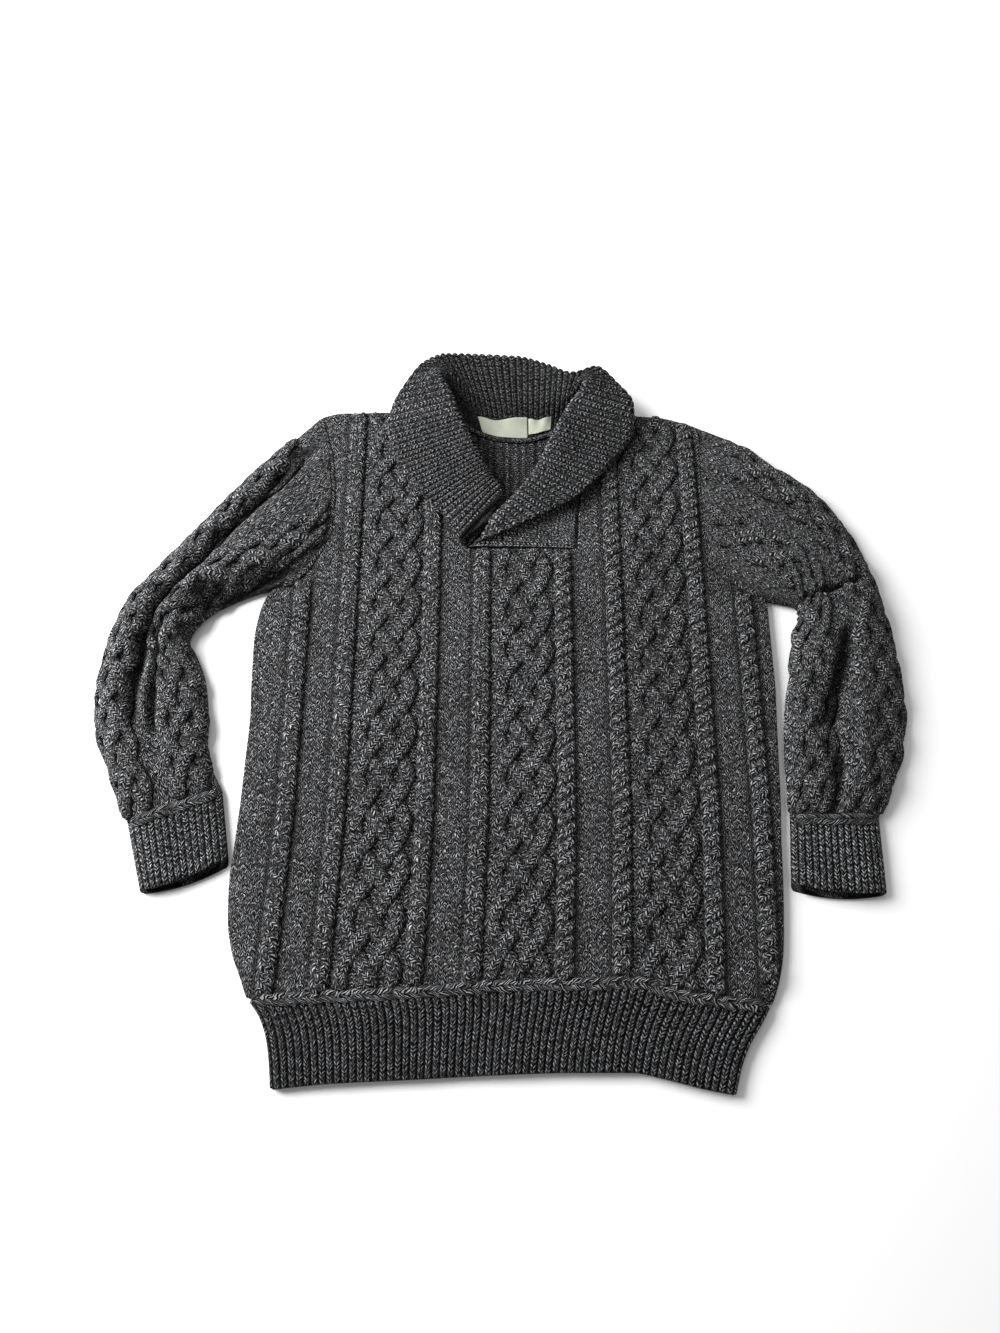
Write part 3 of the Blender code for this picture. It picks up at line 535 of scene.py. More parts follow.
@dataclass(frozen=True)
class Marl:
    """A wool of one dark and one light ply, knitted; the stitches follow the piece's own UV map."""

    name: str
    dark: Colour = (0.0065, 0.0065, 0.007, 1.0)
    middle: Colour = (0.078, 0.079, 0.082, 1.0)
    light: Colour = (0.49, 0.495, 0.51, 1.0)
    depth: float = 1.4
    slant: float = 1.2
    drift: float = 0.5
    # How far the painted shade of the 'deep' mark darkens the colour.
    sunk: float = 0.85
    moss: bool = False

    def material(self) -> bpy.types.Material:
        """Makes the material."""
        tree = NodeTree(self.name)
        place = tree.place()
        stitches = tree.term("ShaderNodeUVMap", {"uv_map": "stitches"}, {})
        u, v, _ = tree.split("ShaderNodeSeparateXYZ", stitches)
        # The 'deep' mark carries painted shade, which darkens the colour below.
        deep = tree.mark("deep")
        wander = tree.cloud(place, WANDER_SCALE, 1.0, "Color")
        wander_u, wander_v, _ = tree.split("ShaderNodeSeparateColor", wander)
        u = u + (wander_u - 0.5) * self.drift
        v = v + (wander_v - 0.5) * self.drift * DRIFT_UP
        # A knit stitch: two legs that lean together, as ridges across its wale.
        wale = u.floor()
        offset = u.part() - 0.5
        away = offset.size() * 2.0
        side = offset.above(0.0)
        slope = v - away * self.slant
        leg = slope.floor()
        across_leg = slope.part()
        ridge = (across_leg * 0.5).sine().power(0.9)
        body = (1.0 - (away * 2.0 - 1.0).size().power(3.0)).power(0.7)
        height = ridge * (body * 0.8 + 0.2)
        tone_cell = tree.vector(wale * 2.0 + side, leg)
        if self.moss:
            # Moss stitch: purl bumps take turns with the knit stitches, with a little luck.
            mark = tree.mark("moss")
            spot = tree.vector(wale, v.floor(), 3.0)
            tilt = tree.luck(spot, 2.0)
            row = v + (away * away) * 0.45 + offset * (tilt - 0.5) * 1.5
            checker = (wale + v.floor()).modulo(2.0)
            purl = (row.part() * 0.5).sine().power(1.2) * (body * 0.4 + 0.65)
            knit = mark * (checker + tree.luck(spot).above(0.45) * (1.0 - checker))
            height = purl.toward(height * 0.95, knit)
            purl_cell = tree.vector(wale * 2.0 + side * 0.5, row.floor(), 7.0)
            tone_cell = tree.tint(purl_cell, tone_cell, knit)
            across_leg = row.part().toward(across_leg, knit)
        # The plies wind round the yarn, so light and dark streaks cross each leg.
        tone = tree.luck(tone_cell)
        ply = (across_leg + away * 0.3 + tone * 0.9 - 0.6).sine() * 0.5 + 0.5
        fibre = tree.cloud(place, FIBRE_SCALE, 1.0) - 0.5
        patch = tree.cloud(place, PATCH_SCALE, 2.0) - 0.5
        shade = tone * 0.3 + ply * 0.62 + fibre * 0.35 + patch * 0.2 + 0.035
        ramp = tree.ramp(shade, ((0.2, self.dark), (0.52, self.middle), (0.95, self.light)))
        # Painted shade: dark between the stitches, where the relief is low, and darker still in
        # valleys and folds, where the 'deep' mark is set.
        groove = (height.power(1.55) * 1.12 + 0.005) * (1.0 - deep * self.sunk)
        dimmed = tree.tint(ramp, tree.vector(groove, groove, groove), 1.0, "MULTIPLY")
        bump = tree.bump(1.0, self.depth, height + fibre * 0.3)
        tree.dress({"Base Color": dimmed, "Roughness": 0.85, "Normal": bump})
        tree.dress({"Sheen Weight": 0.02, "Sheen Roughness": 0.5, "Specular IOR Level": 0.05})
        return tree.material


@dataclass(frozen=True)
class LabelCloth:
    """A tightly woven cream tape."""

    name: str
    light: Colour = (0.385, 0.405, 0.33, 1.0)
    shaded: Colour = (0.25, 0.27, 0.215, 1.0)
    threads: tuple = (("X", 700.0), ("Y", 500.0))

    def material(self) -> bpy.types.Material:
        """Makes the material."""
        tree = NodeTree(self.name)
        place = tree.place()
        warp, weft = (
            tree.term("ShaderNodeTexWave", {"bands_direction": axis}, {0: place, "Scale": scale})
            for axis, scale in self.threads
        )
        patch = tree.cloud(place, 160.0, 3.0)
        weave = warp * 0.5 + weft * 0.5
        colour = tree.tint(self.shaded, self.light, weave * 0.4 + patch * 0.6)
        bump = tree.bump(0.4, 0.1, weave)
        tree.dress({"Base Color": colour, "Normal": bump, "Roughness": 0.7})
        return tree.material


# --------------------------------------------------------------------------------------------
# Making cloth
# --------------------------------------------------------------------------------------------


class Lattice:
    """A grid of points which is given its form, its stitches and its marks as arrays."""

    def __init__(self, across: int, along: int) -> None:
        """Makes a flat grid with that many cells each way."""
        bm = bmesh.new()
        bmesh.ops.create_grid(bm, x_segments=across, y_segments=along, size=0.5)
        self.mesh = bpy.data.meshes.new("lattice")
        bm.to_mesh(self.mesh)
        bm.free()
        flat = np.empty(len(self.mesh.vertices) * 3)
        self.mesh.vertices.foreach_get("co", flat)
        spots = flat.reshape(-1, 3) + 0.5
        self.column = np.rint(spots[:, 0] * across).astype(int)
        self.row = np.rint(spots[:, 1] * along).astype(int)
        self.across, self.along = self.column / across, self.row / along

    def form(self, points: Point3, stitches: tuple[Value, Value], **marks: Value) -> BMesh:
        """Gives the grid its form.

        Args:
            points: The x, y and z of each point in millimetres.
            stitches: How many stitches across and rows up each point is.
            **marks: Further values of each point, by the name of their attribute.

        Returns:
            The mesh, with each point's stitches also kept in its layers spot_u and spot_v.
        """
        shape = self.across.shape
        placed = PLACING.metres(np.stack([np.broadcast_to(axis, shape) for axis in points], 1))
        self.mesh.vertices.foreach_set("co", placed.ravel())
        spots = np.stack([np.broadcast_to(value, shape) for value in stitches], 1)
        uv = self.mesh.uv_layers.new(name="stitches")
        corners = np.empty(len(self.mesh.loops), dtype=int)
        self.mesh.loops.foreach_get("vertex_index", corners)
        uv.data.foreach_set("uv", spots[corners].ravel())
        for name, values in {**dict(zip(SPOT_LAYERS, spots.T)), **marks}.items():
            layer = self.mesh.attributes.new(name, "FLOAT", "POINT")
            layer.data.foreach_set("value", np.broadcast_to(values, shape).astype(float))
        bm = bmesh.new()
        bm.from_mesh(self.mesh)
        bpy.data.meshes.remove(self.mesh)
        return bm


def merge(bm: BMesh, reach: float = MERGE) -> None:
    """Merges points that lie on each other."""
    bmesh.ops.remove_doubles(bm, verts=bm.verts[:], dist=reach)


def border_edges(bm: BMesh) -> list[bmesh.types.BMEdge]:
    """The edges of a mesh's open border."""
    return [edge for edge in bm.edges if edge.is_boundary]


def border_ways(bm: BMesh) -> dict[bmesh.types.BMVert, Vector]:
    """The directions out of a flat cloth's border, in plan, at each of its points."""
    ways: dict[bmesh.types.BMVert, Vector] = {}
    for edge in border_edges(bm):
        loop = edge.link_loops[0]
        run = loop.link_loop_next.vert.co - loop.vert.co
        out = Vector((run.y, -run.x, 0.0))
        for vert in edge.verts:
            ways[vert] = ways.get(vert, Vector()) + out
    return ways


def stitch_corners(bm: BMesh) -> None:
    """Copies each point's stitches to the corners of the faces round it."""
    uv = bm.loops.layers.uv["stitches"]
    layers = [bm.verts.layers.float[name] for name in SPOT_LAYERS]
    for face in bm.faces:
        for corner in face.loops:
            corner[uv].uv = [corner.vert[layer] for layer in layers]


def close_panel(bm: BMesh, base: float, steps: int = 4) -> None:
    """Rounds a panel's border outwards and down to its base, and closes the base.

    Args:
        bm: The panel's outer face, with its faces upwards.
        base: The height of the panel's base in millimetres.
        steps: How many rings of faces the rim has.
    """
    spot_u, spot_v = (bm.verts.layers.float[name] for name in SPOT_LAYERS)
    ways = border_ways(bm)
    border = {vert: (vert.co.copy(), ways[vert].normalized()) for vert in ways}
    edges = border_edges(bm)
    for step in range(1, steps + 1):
        made = bmesh.ops.extrude_edge_only(bm, edges=edges)["geom"]
        angle = math.pi / 2 * step / steps
        fresh = {}
        for vert in (item for item in made if isinstance(item, bmesh.types.BMVert)):
            others = (edge.other_vert(vert) for edge in vert.link_edges)
            old = next(other for other in others if other in border)
            start, way = border[old]
            fresh[vert] = (start, way)
            out = way * RIM * MM * math.sin(angle)
            level = mix(start.z, base * MM, 1.0 - math.cos(angle))
            vert.co = Vector((start.x + out.x, start.y + out.y, level))
            vert[spot_u] = old[spot_u] + way.x * RIM / steps / STITCH_WIDE
            vert[spot_v] = old[spot_v] + way.y * RIM / steps / STITCH_TALL
        border = fresh
        edges = [item for item in made if isinstance(item, bmesh.types.BMEdge) and item.is_boundary]
    bmesh.ops.holes_fill(bm, edges=edges, sides=0)
    stitch_corners(bm)


def place_object(name: str, thing: bpy.types.ID) -> bpy.types.Object:
    """Puts a mesh, a light or a camera into the scene."""
    placed = bpy.data.objects.new(name, thing)
    bpy.context.scene.collection.objects.link(placed)
    return placed


def finish_piece(
    name: str, bm: BMesh, finish: Marl | LabelCloth, slot: str, stands: bool = True
) -> bpy.types.Object:
    """Turns a mesh into a piece of the sweater.

    Args:
        name: The piece's name.
        bm: Its closed mesh, in the frame.
        finish: What it is made of.
        slot: The name of its solid in model.glb.
        stands: Whether the piece stands for that solid.

    Returns:
        The piece.
    """
    bmesh.ops.recalc_face_normals(bm, faces=bm.faces)
    mesh = bpy.data.meshes.new(name)
    bm.to_mesh(mesh)
    bm.free()
    mesh.shade_smooth()
    piece = place_object(name, mesh)
    mesh.materials.append(finish.material())
    for mark in SPOT_LAYERS:
        if mark in mesh.attributes:
            mesh.attributes.remove(mesh.attributes[mark])
    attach(piece, "root")
    if stands:
        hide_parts(slot)
    triangles = sum(len(face.vertices) - 2 for face in mesh.polygons)
    log.info("%s: %d triangles", name, triangles)
    return piece


def lifted(surface: Surface, s: Array, t: Array, height: Array) -> Point3:
    """Points at a height over a surface, along its upward direction.

    Args:
        surface: Gives the surface's points from millimetres across and along the cloth.
        s: Millimetres across.
        t: Millimetres along.
        height: Millimetres over the surface.

    Returns:
        The x, y and z of the points.
    """
    base = np.stack(surface(s, t), -1)
    across = np.stack(surface(s + 1.0, t), -1) - np.stack(surface(s - 1.0, t), -1)
    along = np.stack(surface(s, t + 1.0), -1) - np.stack(surface(s, t - 1.0), -1)
    normal = np.cross(across, along)
    points = base + unit(normal * np.sign(normal[..., 2:3])) * np.asarray(height)[..., None]
    return points[..., 0], points[..., 1], points[..., 2]


def seam_surface(length: Array, x: Array, y: Array, z: Array) -> Surface:
    """The joint along a path, whose places are millimetres to its side and along it."""
    rows = Curve(np.stack([length, x, y, z, *sideways(x, y)], 1))

    def surface(s: Array, t: Array) -> Point3:
        """The joint's points."""
        x, y, z, side_x, side_y = rows.at(t)
        return x + s * side_x, y + s * side_y, z

    return surface


@dataclass(frozen=True)
class Strand:
    """The section of a cable's strand: its size, how flat it is, and where painted shade starts on
    its flanks.
    """

    half_width: float
    half_height: float
    wales: float
    segments: int = 12
    under: float = 0.6
    # Where painted shade starts on the flanks, as the sine of the angle round the section.
    groove: float = 0.72
    taper: float = 4.0

    def lay(
        self, surface: Surface, s: Array, t: Array, lift: Array, seed: float, shade: Value = 0.0
    ) -> BMesh:
        """Lays a closed strand on a surface.

        Args:
            surface: The cloth it lies on.
            s: The path's millimetres across the cloth.
            t: The path's millimetres along the cloth.
            lift: The height of the strand's middle over the cloth.
            seed: Shifts the stitches, so that strands differ.
            shade: The painted shade on the strand at each step of its path.

        Returns:
            The strand's mesh.
        """
        lattice = Lattice(self.segments, len(s) - 1)
        ds, dt = np.gradient(s), np.gradient(t)
        step = np.hypot(ds, dt)
        run = path_length(np.stack(surface(s, t), -1))
        ends = np.minimum(run, run[-1] - run) / (self.taper * self.half_height)
        taper = 0.25 + 0.75 * roll(ends, 1.0)
        index = lattice.row
        angle = (lattice.across - 0.5) * 2.0 * math.pi
        side = np.sin(angle) * self.half_width * taper[index]
        rise = np.cos(angle) * self.half_height * taper[index]
        rise = np.where(rise < 0.0, rise * self.under, rise)
        across = s[index] + side * dt[index] / step[index]
        along = t[index] - side * ds[index] / step[index]
        points = lifted(surface, across, along, lift[index] + rise)
        wales = self.wales * (angle / math.pi + 0.5) + math.floor(seed * 97.0)
        # Painted shade on the flanks, where the strand turns down to the cloth, and the path's
        # painted shade.
        deep = smooth_step((np.abs(np.sin(angle)) - self.groove) / 0.28) * 0.8
        deep = deep + (1.0 - deep) * np.broadcast_to(shade, s.shape)[index]
        bm = lattice.form(points, (wales, run[index] / STITCH_TALL + seed * 31.0), deep=deep)
        merge(bm)
        bmesh.ops.holes_fill(bm, edges=border_edges(bm), sides=0)
        return bm


def join(parts: list[BMesh]) -> BMesh:
    """Puts several meshes into one, their points in the same order."""
    whole = bmesh.new()
    for part in parts:
        bmesh.ops.recalc_face_normals(part, faces=part.faces)
        mesh = bpy.data.meshes.new("join")
        part.to_mesh(mesh)
        part.free()
        whole.from_mesh(mesh)
        bpy.data.meshes.remove(mesh)
    return whole


class Twist(Enum):
    """Which way a rope's upper strand runs."""

    TO_RIGHT = 1.0
    TO_LEFT = -1.0


@dataclass(frozen=True)
class Plait:
    """A cable of four strands, which rise and fall by turns as they swing from side to side."""

    centre: float
    phase: float = 0.0
    # Gives the painted shade of the cloth under the plait, if any.
    shade: Callable | None = None
    reach: float = PLAIT_REACH
    strand: Strand = Strand(7.8, 2.8, 3.2)
    step: float = 2.9
    wobble: float = 0.9
    clock: Callable | None = None
    rounding: float = 0.45
    lift: float = 0.9
    over_lift: float = 1.15
    under_shade: float = 0.38

    def strands(self, surface: Surface, start: float, end: float, seed: float) -> list[BMesh]:
        """The four strands between two places along the cloth."""
        made = []
        run = np.linspace(start, end, max(8, int((end - start) / self.step)))
        turns = run if self.clock is None else self.clock(run)
        turns = turns / PLAIT_PERIOD + self.phase / PLAIT_PERIOD
        for number in range(4):
            turn = (turns + number) / 4.0
            share = turn - np.floor(turn)
            rising = share < 0.5
            swing = np.where(rising, 4.0 * share - 1.0, 3.0 - 4.0 * share)
            rounded = np.sin(swing * math.pi / 2)
            sway = self.wobble * np.sin(run * 0.083 + number * 1.9 + self.centre)
            place = self.centre + self.reach * mix(swing, rounded, self.rounding) + sway
            crossing = np.cos(2 * math.pi * (turns + 0.5))
            over = np.where(rising, 1.0, -1.0) * crossing * (1.0 - swing**6)
            # Painted shade where a strand passes under the others, and the cloth's painted shade.
            shade = self.under_shade * smooth_step(-over * 1.3)
            if self.shade is not None:
                shade = np.maximum(shade, self.shade(place, run))
            lift = self.lift + self.over_lift * over
            made.append(self.strand.lay(surface, place, run, lift, seed + number * 0.213, shade))
        return made


@dataclass(frozen=True)
class Rope:
    """A cable of two strands twisted round each other."""

    centre: float
    twist: Twist
    reach: float = ROPE_REACH
    strand: Strand = Strand(5.4, 2.8, 2.0, 12, 0.6, 0.8)
    step: float = 2.0
    lift: float = 0.6
    over_lift: float = 1.1

    def strands(self, surface: Surface, start: float, end: float, seed: float) -> list[BMesh]:
        """The two strands between two places along the cloth."""
        made = []
        run = np.linspace(start, end, max(8, int((end - start) / self.step)))
        for number in range(2):
            turn = run / ROPE_PERIOD + number * 0.5 + seed
            swing = np.tanh(2.0 * np.cos(2 * math.pi * turn)) / math.tanh(2.0)
            place = self.centre + self.twist.value * self.reach * swing
            over = np.sin(2 * math.pi * turn)
            lift = self.lift + self.over_lift * over
            # Painted shade where a strand runs under, and a painted highlight where it lies on top.
            shade = mix(-0.12, 0.2, smooth_step(0.3 - over * 1.4))
            made.append(self.strand.lay(surface, place, run, lift, seed + number * 0.377, shade))
        return made


def creases(x: Array, y: Array, rows: tuple) -> Array:
    """Soft troughs and ridges.

    Args:
        x: Millimetres to the right.
        y: Millimetres up.
        rows: Each crease: the x and y of its ends, its half width and its height, a trough below 0.

    Returns:
        The height that they add at each point.
    """
    height = np.zeros_like(x)
    for first_x, first_y, last_x, last_y, half_width, rise in rows:
        run_x, run_y = last_x - first_x, last_y - first_y
        length = math.hypot(run_x, run_y)
        along = ((x - first_x) * run_x + (y - first_y) * run_y) / length**2
        away = ((x - first_x) * run_y - (y - first_y) * run_x) / length
        ends = smooth_step(1.0 - np.abs(2.0 * along - 1.0) ** 2)
        height = height + rise * ends * np.exp(-((away / half_width) ** 2))
    return height


# --------------------------------------------------------------------------------------------
# The body
# --------------------------------------------------------------------------------------------


@dataclass(frozen=True)
class Clip:
    """Where a body panel's columns are held: at its side edges, and in its neck opening."""

    inset: float
    snap: float
    neck: bool


class BodyPlan:
    """Places the knitting of the body: offset from the centre line, and run up from the hem."""

    def grid(self, pitch: float) -> tuple[Lattice, Array, Array]:
        """A panel's grid, with the offset and the run of each point inside the rim."""
        lattice = Lattice(int(2 * BODY_REACH / pitch), int(BODY_RUN / pitch))
        run = mix(RIM, BODY_RUN - RIM, lattice.along)
        return lattice, (lattice.across - 0.5) * 2 * BODY_REACH, run

    def row_height(self, x: Array, row: Array, top: Array) -> Array:
        """The height of a row at x, from the link line past the neck to the top line."""
        link = LINK.at(x)[0] + SEAM_GAP / 2
        below = mix(link, NECK_BOTTOM, row / ROWS_TO_NECK)
        above = mix(NECK_BOTTOM, top, (row - ROWS_TO_NECK) / ROWS_ABOVE_NECK)
        return np.where(row <= ROWS_TO_NECK, below, above)

    def shoulders(self, x: Array) -> Array:
        """The height of the shoulders at x."""
        return SHOULDERS.at(x)[0]

    def plan(self, offset: Array, run: Array) -> tuple[Array, Array]:
        """The x and y of the knitting."""
        row = run / ROW_PITCH
        x = offset
        for _ in range(3):
            x = CENTRE.at(self.row_height(x, row, self.shoulders(x)))[0] + offset
        return x, self.row_height(x, row, self.shoulders(x))

    def clipped(
        self, offset: Array, run: Array, clip: Clip, top: Callable[[Array], Array]
    ) -> tuple[Array, Array, Array]:
        """The knitting, held inside the panel.

        Args:
            offset: Millimetres from the centre line.
            run: Millimetres up from the hem.
            clip: Where the columns are held.
            top: Gives the height of the panel's top line at x.

        Returns:
            The x and y of the points, and which lie in the neck opening.
        """
        row = run / ROW_PITCH
        height = self.row_height(offset, row, top(offset))
        for _ in range(6):
            x = CENTRE.at(height)[0] + offset
            left, right = EDGES.at(height)
            left, right = left + clip.inset, right - clip.inset
            x = np.where(x < left + clip.snap, left, x)
            x = np.where(x > right - clip.snap, right, x)
            in_neck = np.zeros_like(x, dtype=bool)
            if clip.neck:
                neck_left, neck_right = NECK_FRONT.at(height)
                neck_left, neck_right = neck_left - clip.inset, neck_right + clip.inset
                in_neck = (x > neck_left - clip.snap) & (x < neck_right + clip.snap)
                in_neck &= row >= ROWS_TO_NECK
                held = in_neck & (row > ROWS_TO_NECK)
                x = np.where(held, np.where(offset <= 0.0, neck_left, neck_right), x)
            height = self.row_height(x, row, top(x))
        return x, height, in_neck


PLAN = BodyPlan()


@dataclass
class Front:
    """The front panel with its three plaits and eight ropes."""

    pitch: float = 2.9
    plait_ground: float = 34.0
    moss_lift: float = 0.8
    plait_lift: float = 0.9
    sunk: float = 0.6
    furrow: float = 2.2
    rope_half_width: float = 8.0
    end_gap: float = 1.5
    folds: tuple = (
        (-250, 470, -150, 560, 16, -1.6),
        (-262, 430, -185, 520, 10, 1.5),
        (255, 470, 170, 560, 16, -1.6),
        (262, 430, 190, 520, 11, 1.5),
        (150, 85, 128, 200, 9, -1.6),
        (110, 90, 100, 190, 12, 1.2),
        (-200, 110, -215, 260, 14, 1.0),
        (60, 540, 140, 470, 16, 1.0),
        (-50, 545, -110, 480, 14, 1.0),
        (-262, 478, -222, 520, 6, -3.0),
        (262, 482, 236, 512, 6, -2.5),
    )

    def height(self, x: Array, y: Array) -> Array:
        """The height of the cloth without its cables."""
        left, right = EDGES.at(y)
        side = roll(np.minimum(x - left, right - x), EDGE_ROLL)
        low, high = y - LINK.at(x)[0], PLAN.shoulders(x) - y
        seam = mix(SEAM_LEVEL, 1.0, roll(np.minimum(low, high), SEAM_ROLL))
        return FRONT_BASE + mix(FRONT_EDGE_WALL, FRONT_WALL + self.wander(x, y), side * seam)

    def wander(self, x: Array, y: Array) -> Array:
        """The slow waves of cloth that lies loosely, and its soft creases."""
        waves = np.sin(x * 0.031 + y * 0.013 + 0.7) + np.sin(x * 0.017 - y * 0.029 + 2.1)
        waves = waves + 0.6 * np.sin(x * 0.053 + 1.3) * np.sin(y * 0.041 + 0.4)
        return 0.28 * waves + creases(x, y, self.folds)

    def surface(self, s: Array, t: Array) -> Point3:
        """The cloth's upper face under the cables."""
        x, y = PLAN.plan(s, t)
        return x, y, self.height(x, y)

    def moss(self, offset: Array) -> Array:
        """One in the moss bands, and zero between them."""
        away, mark = np.abs(offset), np.zeros_like(offset)
        for start, end in MOSS_BANDS:
            band = smooth_step((away - start) / 2 + 1) * smooth_step((end - away) / 2 + 1)
            mark = np.maximum(mark, band)
        return mark

    def plaits(self, offset: Array) -> Array:
        """One under the plaits, and zero beside them."""
        aways = [np.abs(offset - centre) for centre in PLAIT_CENTRES]
        return smooth_step((self.plait_ground - np.min(aways, axis=0)) / 3.0)

    def furrows(self, offset: Array, run: Array) -> Array:
        """The painted shade along the furrows beside the moss bands, uneven along their run."""
        edges = np.array(MOSS_BANDS).ravel()[:5]
        lines = [np.exp(-(((np.abs(offset) - edge) / self.furrow) ** 2)) for edge in edges]
        return (0.8 + 0.2 * np.sin(run * 0.7 + offset)) * np.max(lines, axis=0)

    def build(self) -> list[bpy.types.Object]:
        """Builds the panel and its cables."""
        lattice, offset, run = PLAN.grid(self.pitch)
        rows = int(lattice.row.max())
        # A row of points is moved to the bottom of the neck opening.
        neck_row = round((ROWS_TO_NECK * ROW_PITCH - RIM) / (BODY_RUN - 2 * RIM) * rows)
        run = np.where(lattice.row == neck_row, ROWS_TO_NECK * ROW_PITCH, run)
        clip = Clip(RIM, self.pitch * SNAP_SHARE, True)
        x, y, in_neck = PLAN.clipped(offset, run, clip, PLAN.shoulders)
        offset = x - CENTRE.at(y)[0]
        moss, plaits = self.moss(offset), self.plaits(offset)
        raised = self.moss_lift * moss + self.plait_lift * plaits - self.sunk
        # Painted shade on the sunk ground between the cables, less under the plaits, and along the
        # furrows beside the moss bands.
        deep = np.maximum(0.4 - 0.4 * moss - 0.2 * plaits, self.furrows(offset, run))
        stitches = (offset / STITCH_WIDE, run / STITCH_TALL)
        points = (x, y, self.height(x, y) + raised)
        bm = lattice.form(points, stitches, moss=moss, deep=deep, neck=in_neck)
        neck = bm.verts.layers.float["neck"]
        inside = [face for face in bm.faces if all(vert[neck] > 0.5 for vert in face.verts)]
        bmesh.ops.delete(bm, geom=inside, context="FACES")
        merge(bm, CLIP_MERGE)
        close_panel(bm, FRONT_BASE)
        panel = finish_piece("front_panel", bm, Marl("front_moss", **MOSS), "front")
        cables = finish_piece(
            "front_cables", join(self.cables()), Marl("front_cable"), "front", stands=False
        )
        return [panel, cables]

    def cables(self) -> list[BMesh]:
        """The strands of the plaits and the ropes."""
        made = []
        for number, (centre, phase) in enumerate(zip(PLAIT_CENTRES, PLAIT_PHASES)):
            start, end = self.run_inside(centre, PLAIT_HALF_WIDTH)
            plait = Plait(centre, phase)
            made += plait.strands(self.surface, start, end, 0.11 + number * 0.29)
        for way, twist in ((-1.0, Twist.TO_RIGHT), (1.0, Twist.TO_LEFT)):
            for number, centre in enumerate(ROPE_CENTRES):
                start, end = self.run_inside(way * centre, self.rope_half_width)
                seed = 0.17 + number * 0.23 + (way > 0.0) * 0.4
                made += Rope(way * centre, twist).strands(self.surface, start, end, seed)
        return made

    def run_inside(self, centre: float, half_width: float) -> tuple[float, float]:
        """Where a cable runs between the hem and the armhole, the neck or the shoulder."""
        run = np.linspace(0.0, BODY_RUN, 400)
        x, y = PLAN.plan(np.full_like(run, centre), run)
        left, right = EDGES.at(y)
        neck_left, neck_right = NECK_FRONT.at(y)
        free = (x - half_width > left + 1.0) & (x + half_width < right - 1.0)
        free &= ~((y > NECK_BOTTOM) & (x > neck_left - 4.0) & (x < neck_right + 4.0))
        start = int(np.argmax(free))
        blocked = ~free[start:]
        end = run[start + int(np.argmax(blocked))] if blocked.any() else BODY_RUN
        return max(self.end_gap, float(run[start])), float(end) - self.end_gap


@dataclass
class Back:
    """The back panel, flat on the surface, with the ribs that show inside the neck."""

    pitch: float = 3.6
    rib_pitch: float = 9.2
    seam_offset: float = 15.0

    def top(self, x: Array) -> Array:
        """The shoulders with the back neckline between them."""
        in_neck = (x >= BACK_NECK[0][0]) & (x <= BACK_NECK[-1][0])
        return np.where(in_neck, NECK_BACK.at(x)[0], PLAN.shoulders(x))

    def build(self) -> list[bpy.types.Object]:
        """Builds the panel."""
        lattice, offset, run = PLAN.grid(self.pitch)
        x, y, _ = PLAN.clipped(offset, run, Clip(RIM, self.pitch * SNAP_SHARE, False), self.top)
        offset = x - CENTRE.at(y)[0]
        stitches = (offset / STITCH_WIDE, run / STITCH_TALL)
        left, right = NECK_FRONT.at(y)
        inside = np.minimum(np.minimum(x - left, right - x), y - NECK_BOTTOM)
        inside = smooth_step(inside / 8.0)
        ribs = 0.5 + 0.5 * np.sin(2 * math.pi * offset / self.rib_pitch)
        seam = np.exp(-(((offset - self.seam_offset) / 2.2) ** 2))
        height = BACK_TOP + inside * (1.6 * ribs - 0.8 * seam)
        # Painted shade inside the neck opening, darkest in the valleys between ribs and along the
        # seam.
        deep = inside * np.clip(1.0 - 0.95 * ribs + 0.6 * seam, 0.1, 1.1)
        bm = lattice.form((x, y, height), stitches, moss=0.0, deep=deep)
        merge(bm, CLIP_MERGE)
        close_panel(bm, 0.0)
        panel = finish_piece("back_panel", bm, Marl("back_moss", **MOSS), "back")
        return [panel]


def rib_form(ribs: Array) -> Array:
    """The section of one-by-one rib: one on a rib, and a narrow valley between two."""
    return 1.0 - 2.0 * (np.sin(math.pi * ribs) ** 2) ** 4


def rib_wales(ribs: Array) -> Array:
    """The stitches across one-by-one rib: the ribs' own take most of the width."""
    part = ribs - np.rint(ribs)
    away = np.abs(part)
    spread = np.where(away < 0.45, away / 0.9, 0.5 + (away - 0.45) / 0.1)
    return 2.0 * np.rint(ribs) + 0.5 + np.sign(part) * spread


def rib_valley(ribs: Array) -> Array:
    """One in the valleys between ribs, and zero on them."""
    return smooth_step((np.abs(ribs - np.rint(ribs)) - 0.37) / 0.12)


@dataclass(frozen=True)
class Chain:
    """The row of sideways stitches that links a rib band on."""

    name: str
    slot: str
    surface: Surface
    end: float
    seed: float
    start: float = 4.0
    down: float = 2.0
    strand: Strand = Strand(6.2, 2.3, 1.0, 14)

    def build(self) -> bpy.types.Object:
        """Builds the row, from one side to the other."""
        steps = max(12, int((self.end - self.start) / 2.0))
        across = np.linspace(self.start, self.end, steps)
        wobble = 0.5 * np.sin(across * 0.21 + self.seed * 9.0)
        wobble = wobble + 0.35 * np.sin(across * 0.53 + 1.0)
        lift = 0.3 + 0.4 * np.sin(across * 0.31 + self.seed * 5.0)
        strand = self.strand.lay(self.surface, across, self.down + wobble, lift, self.seed)
        wool = Marl(self.name + "_wool", slant=3.4, drift=0.35)
        return finish_piece(self.name, join([strand]), wool, self.slot, stands=False)


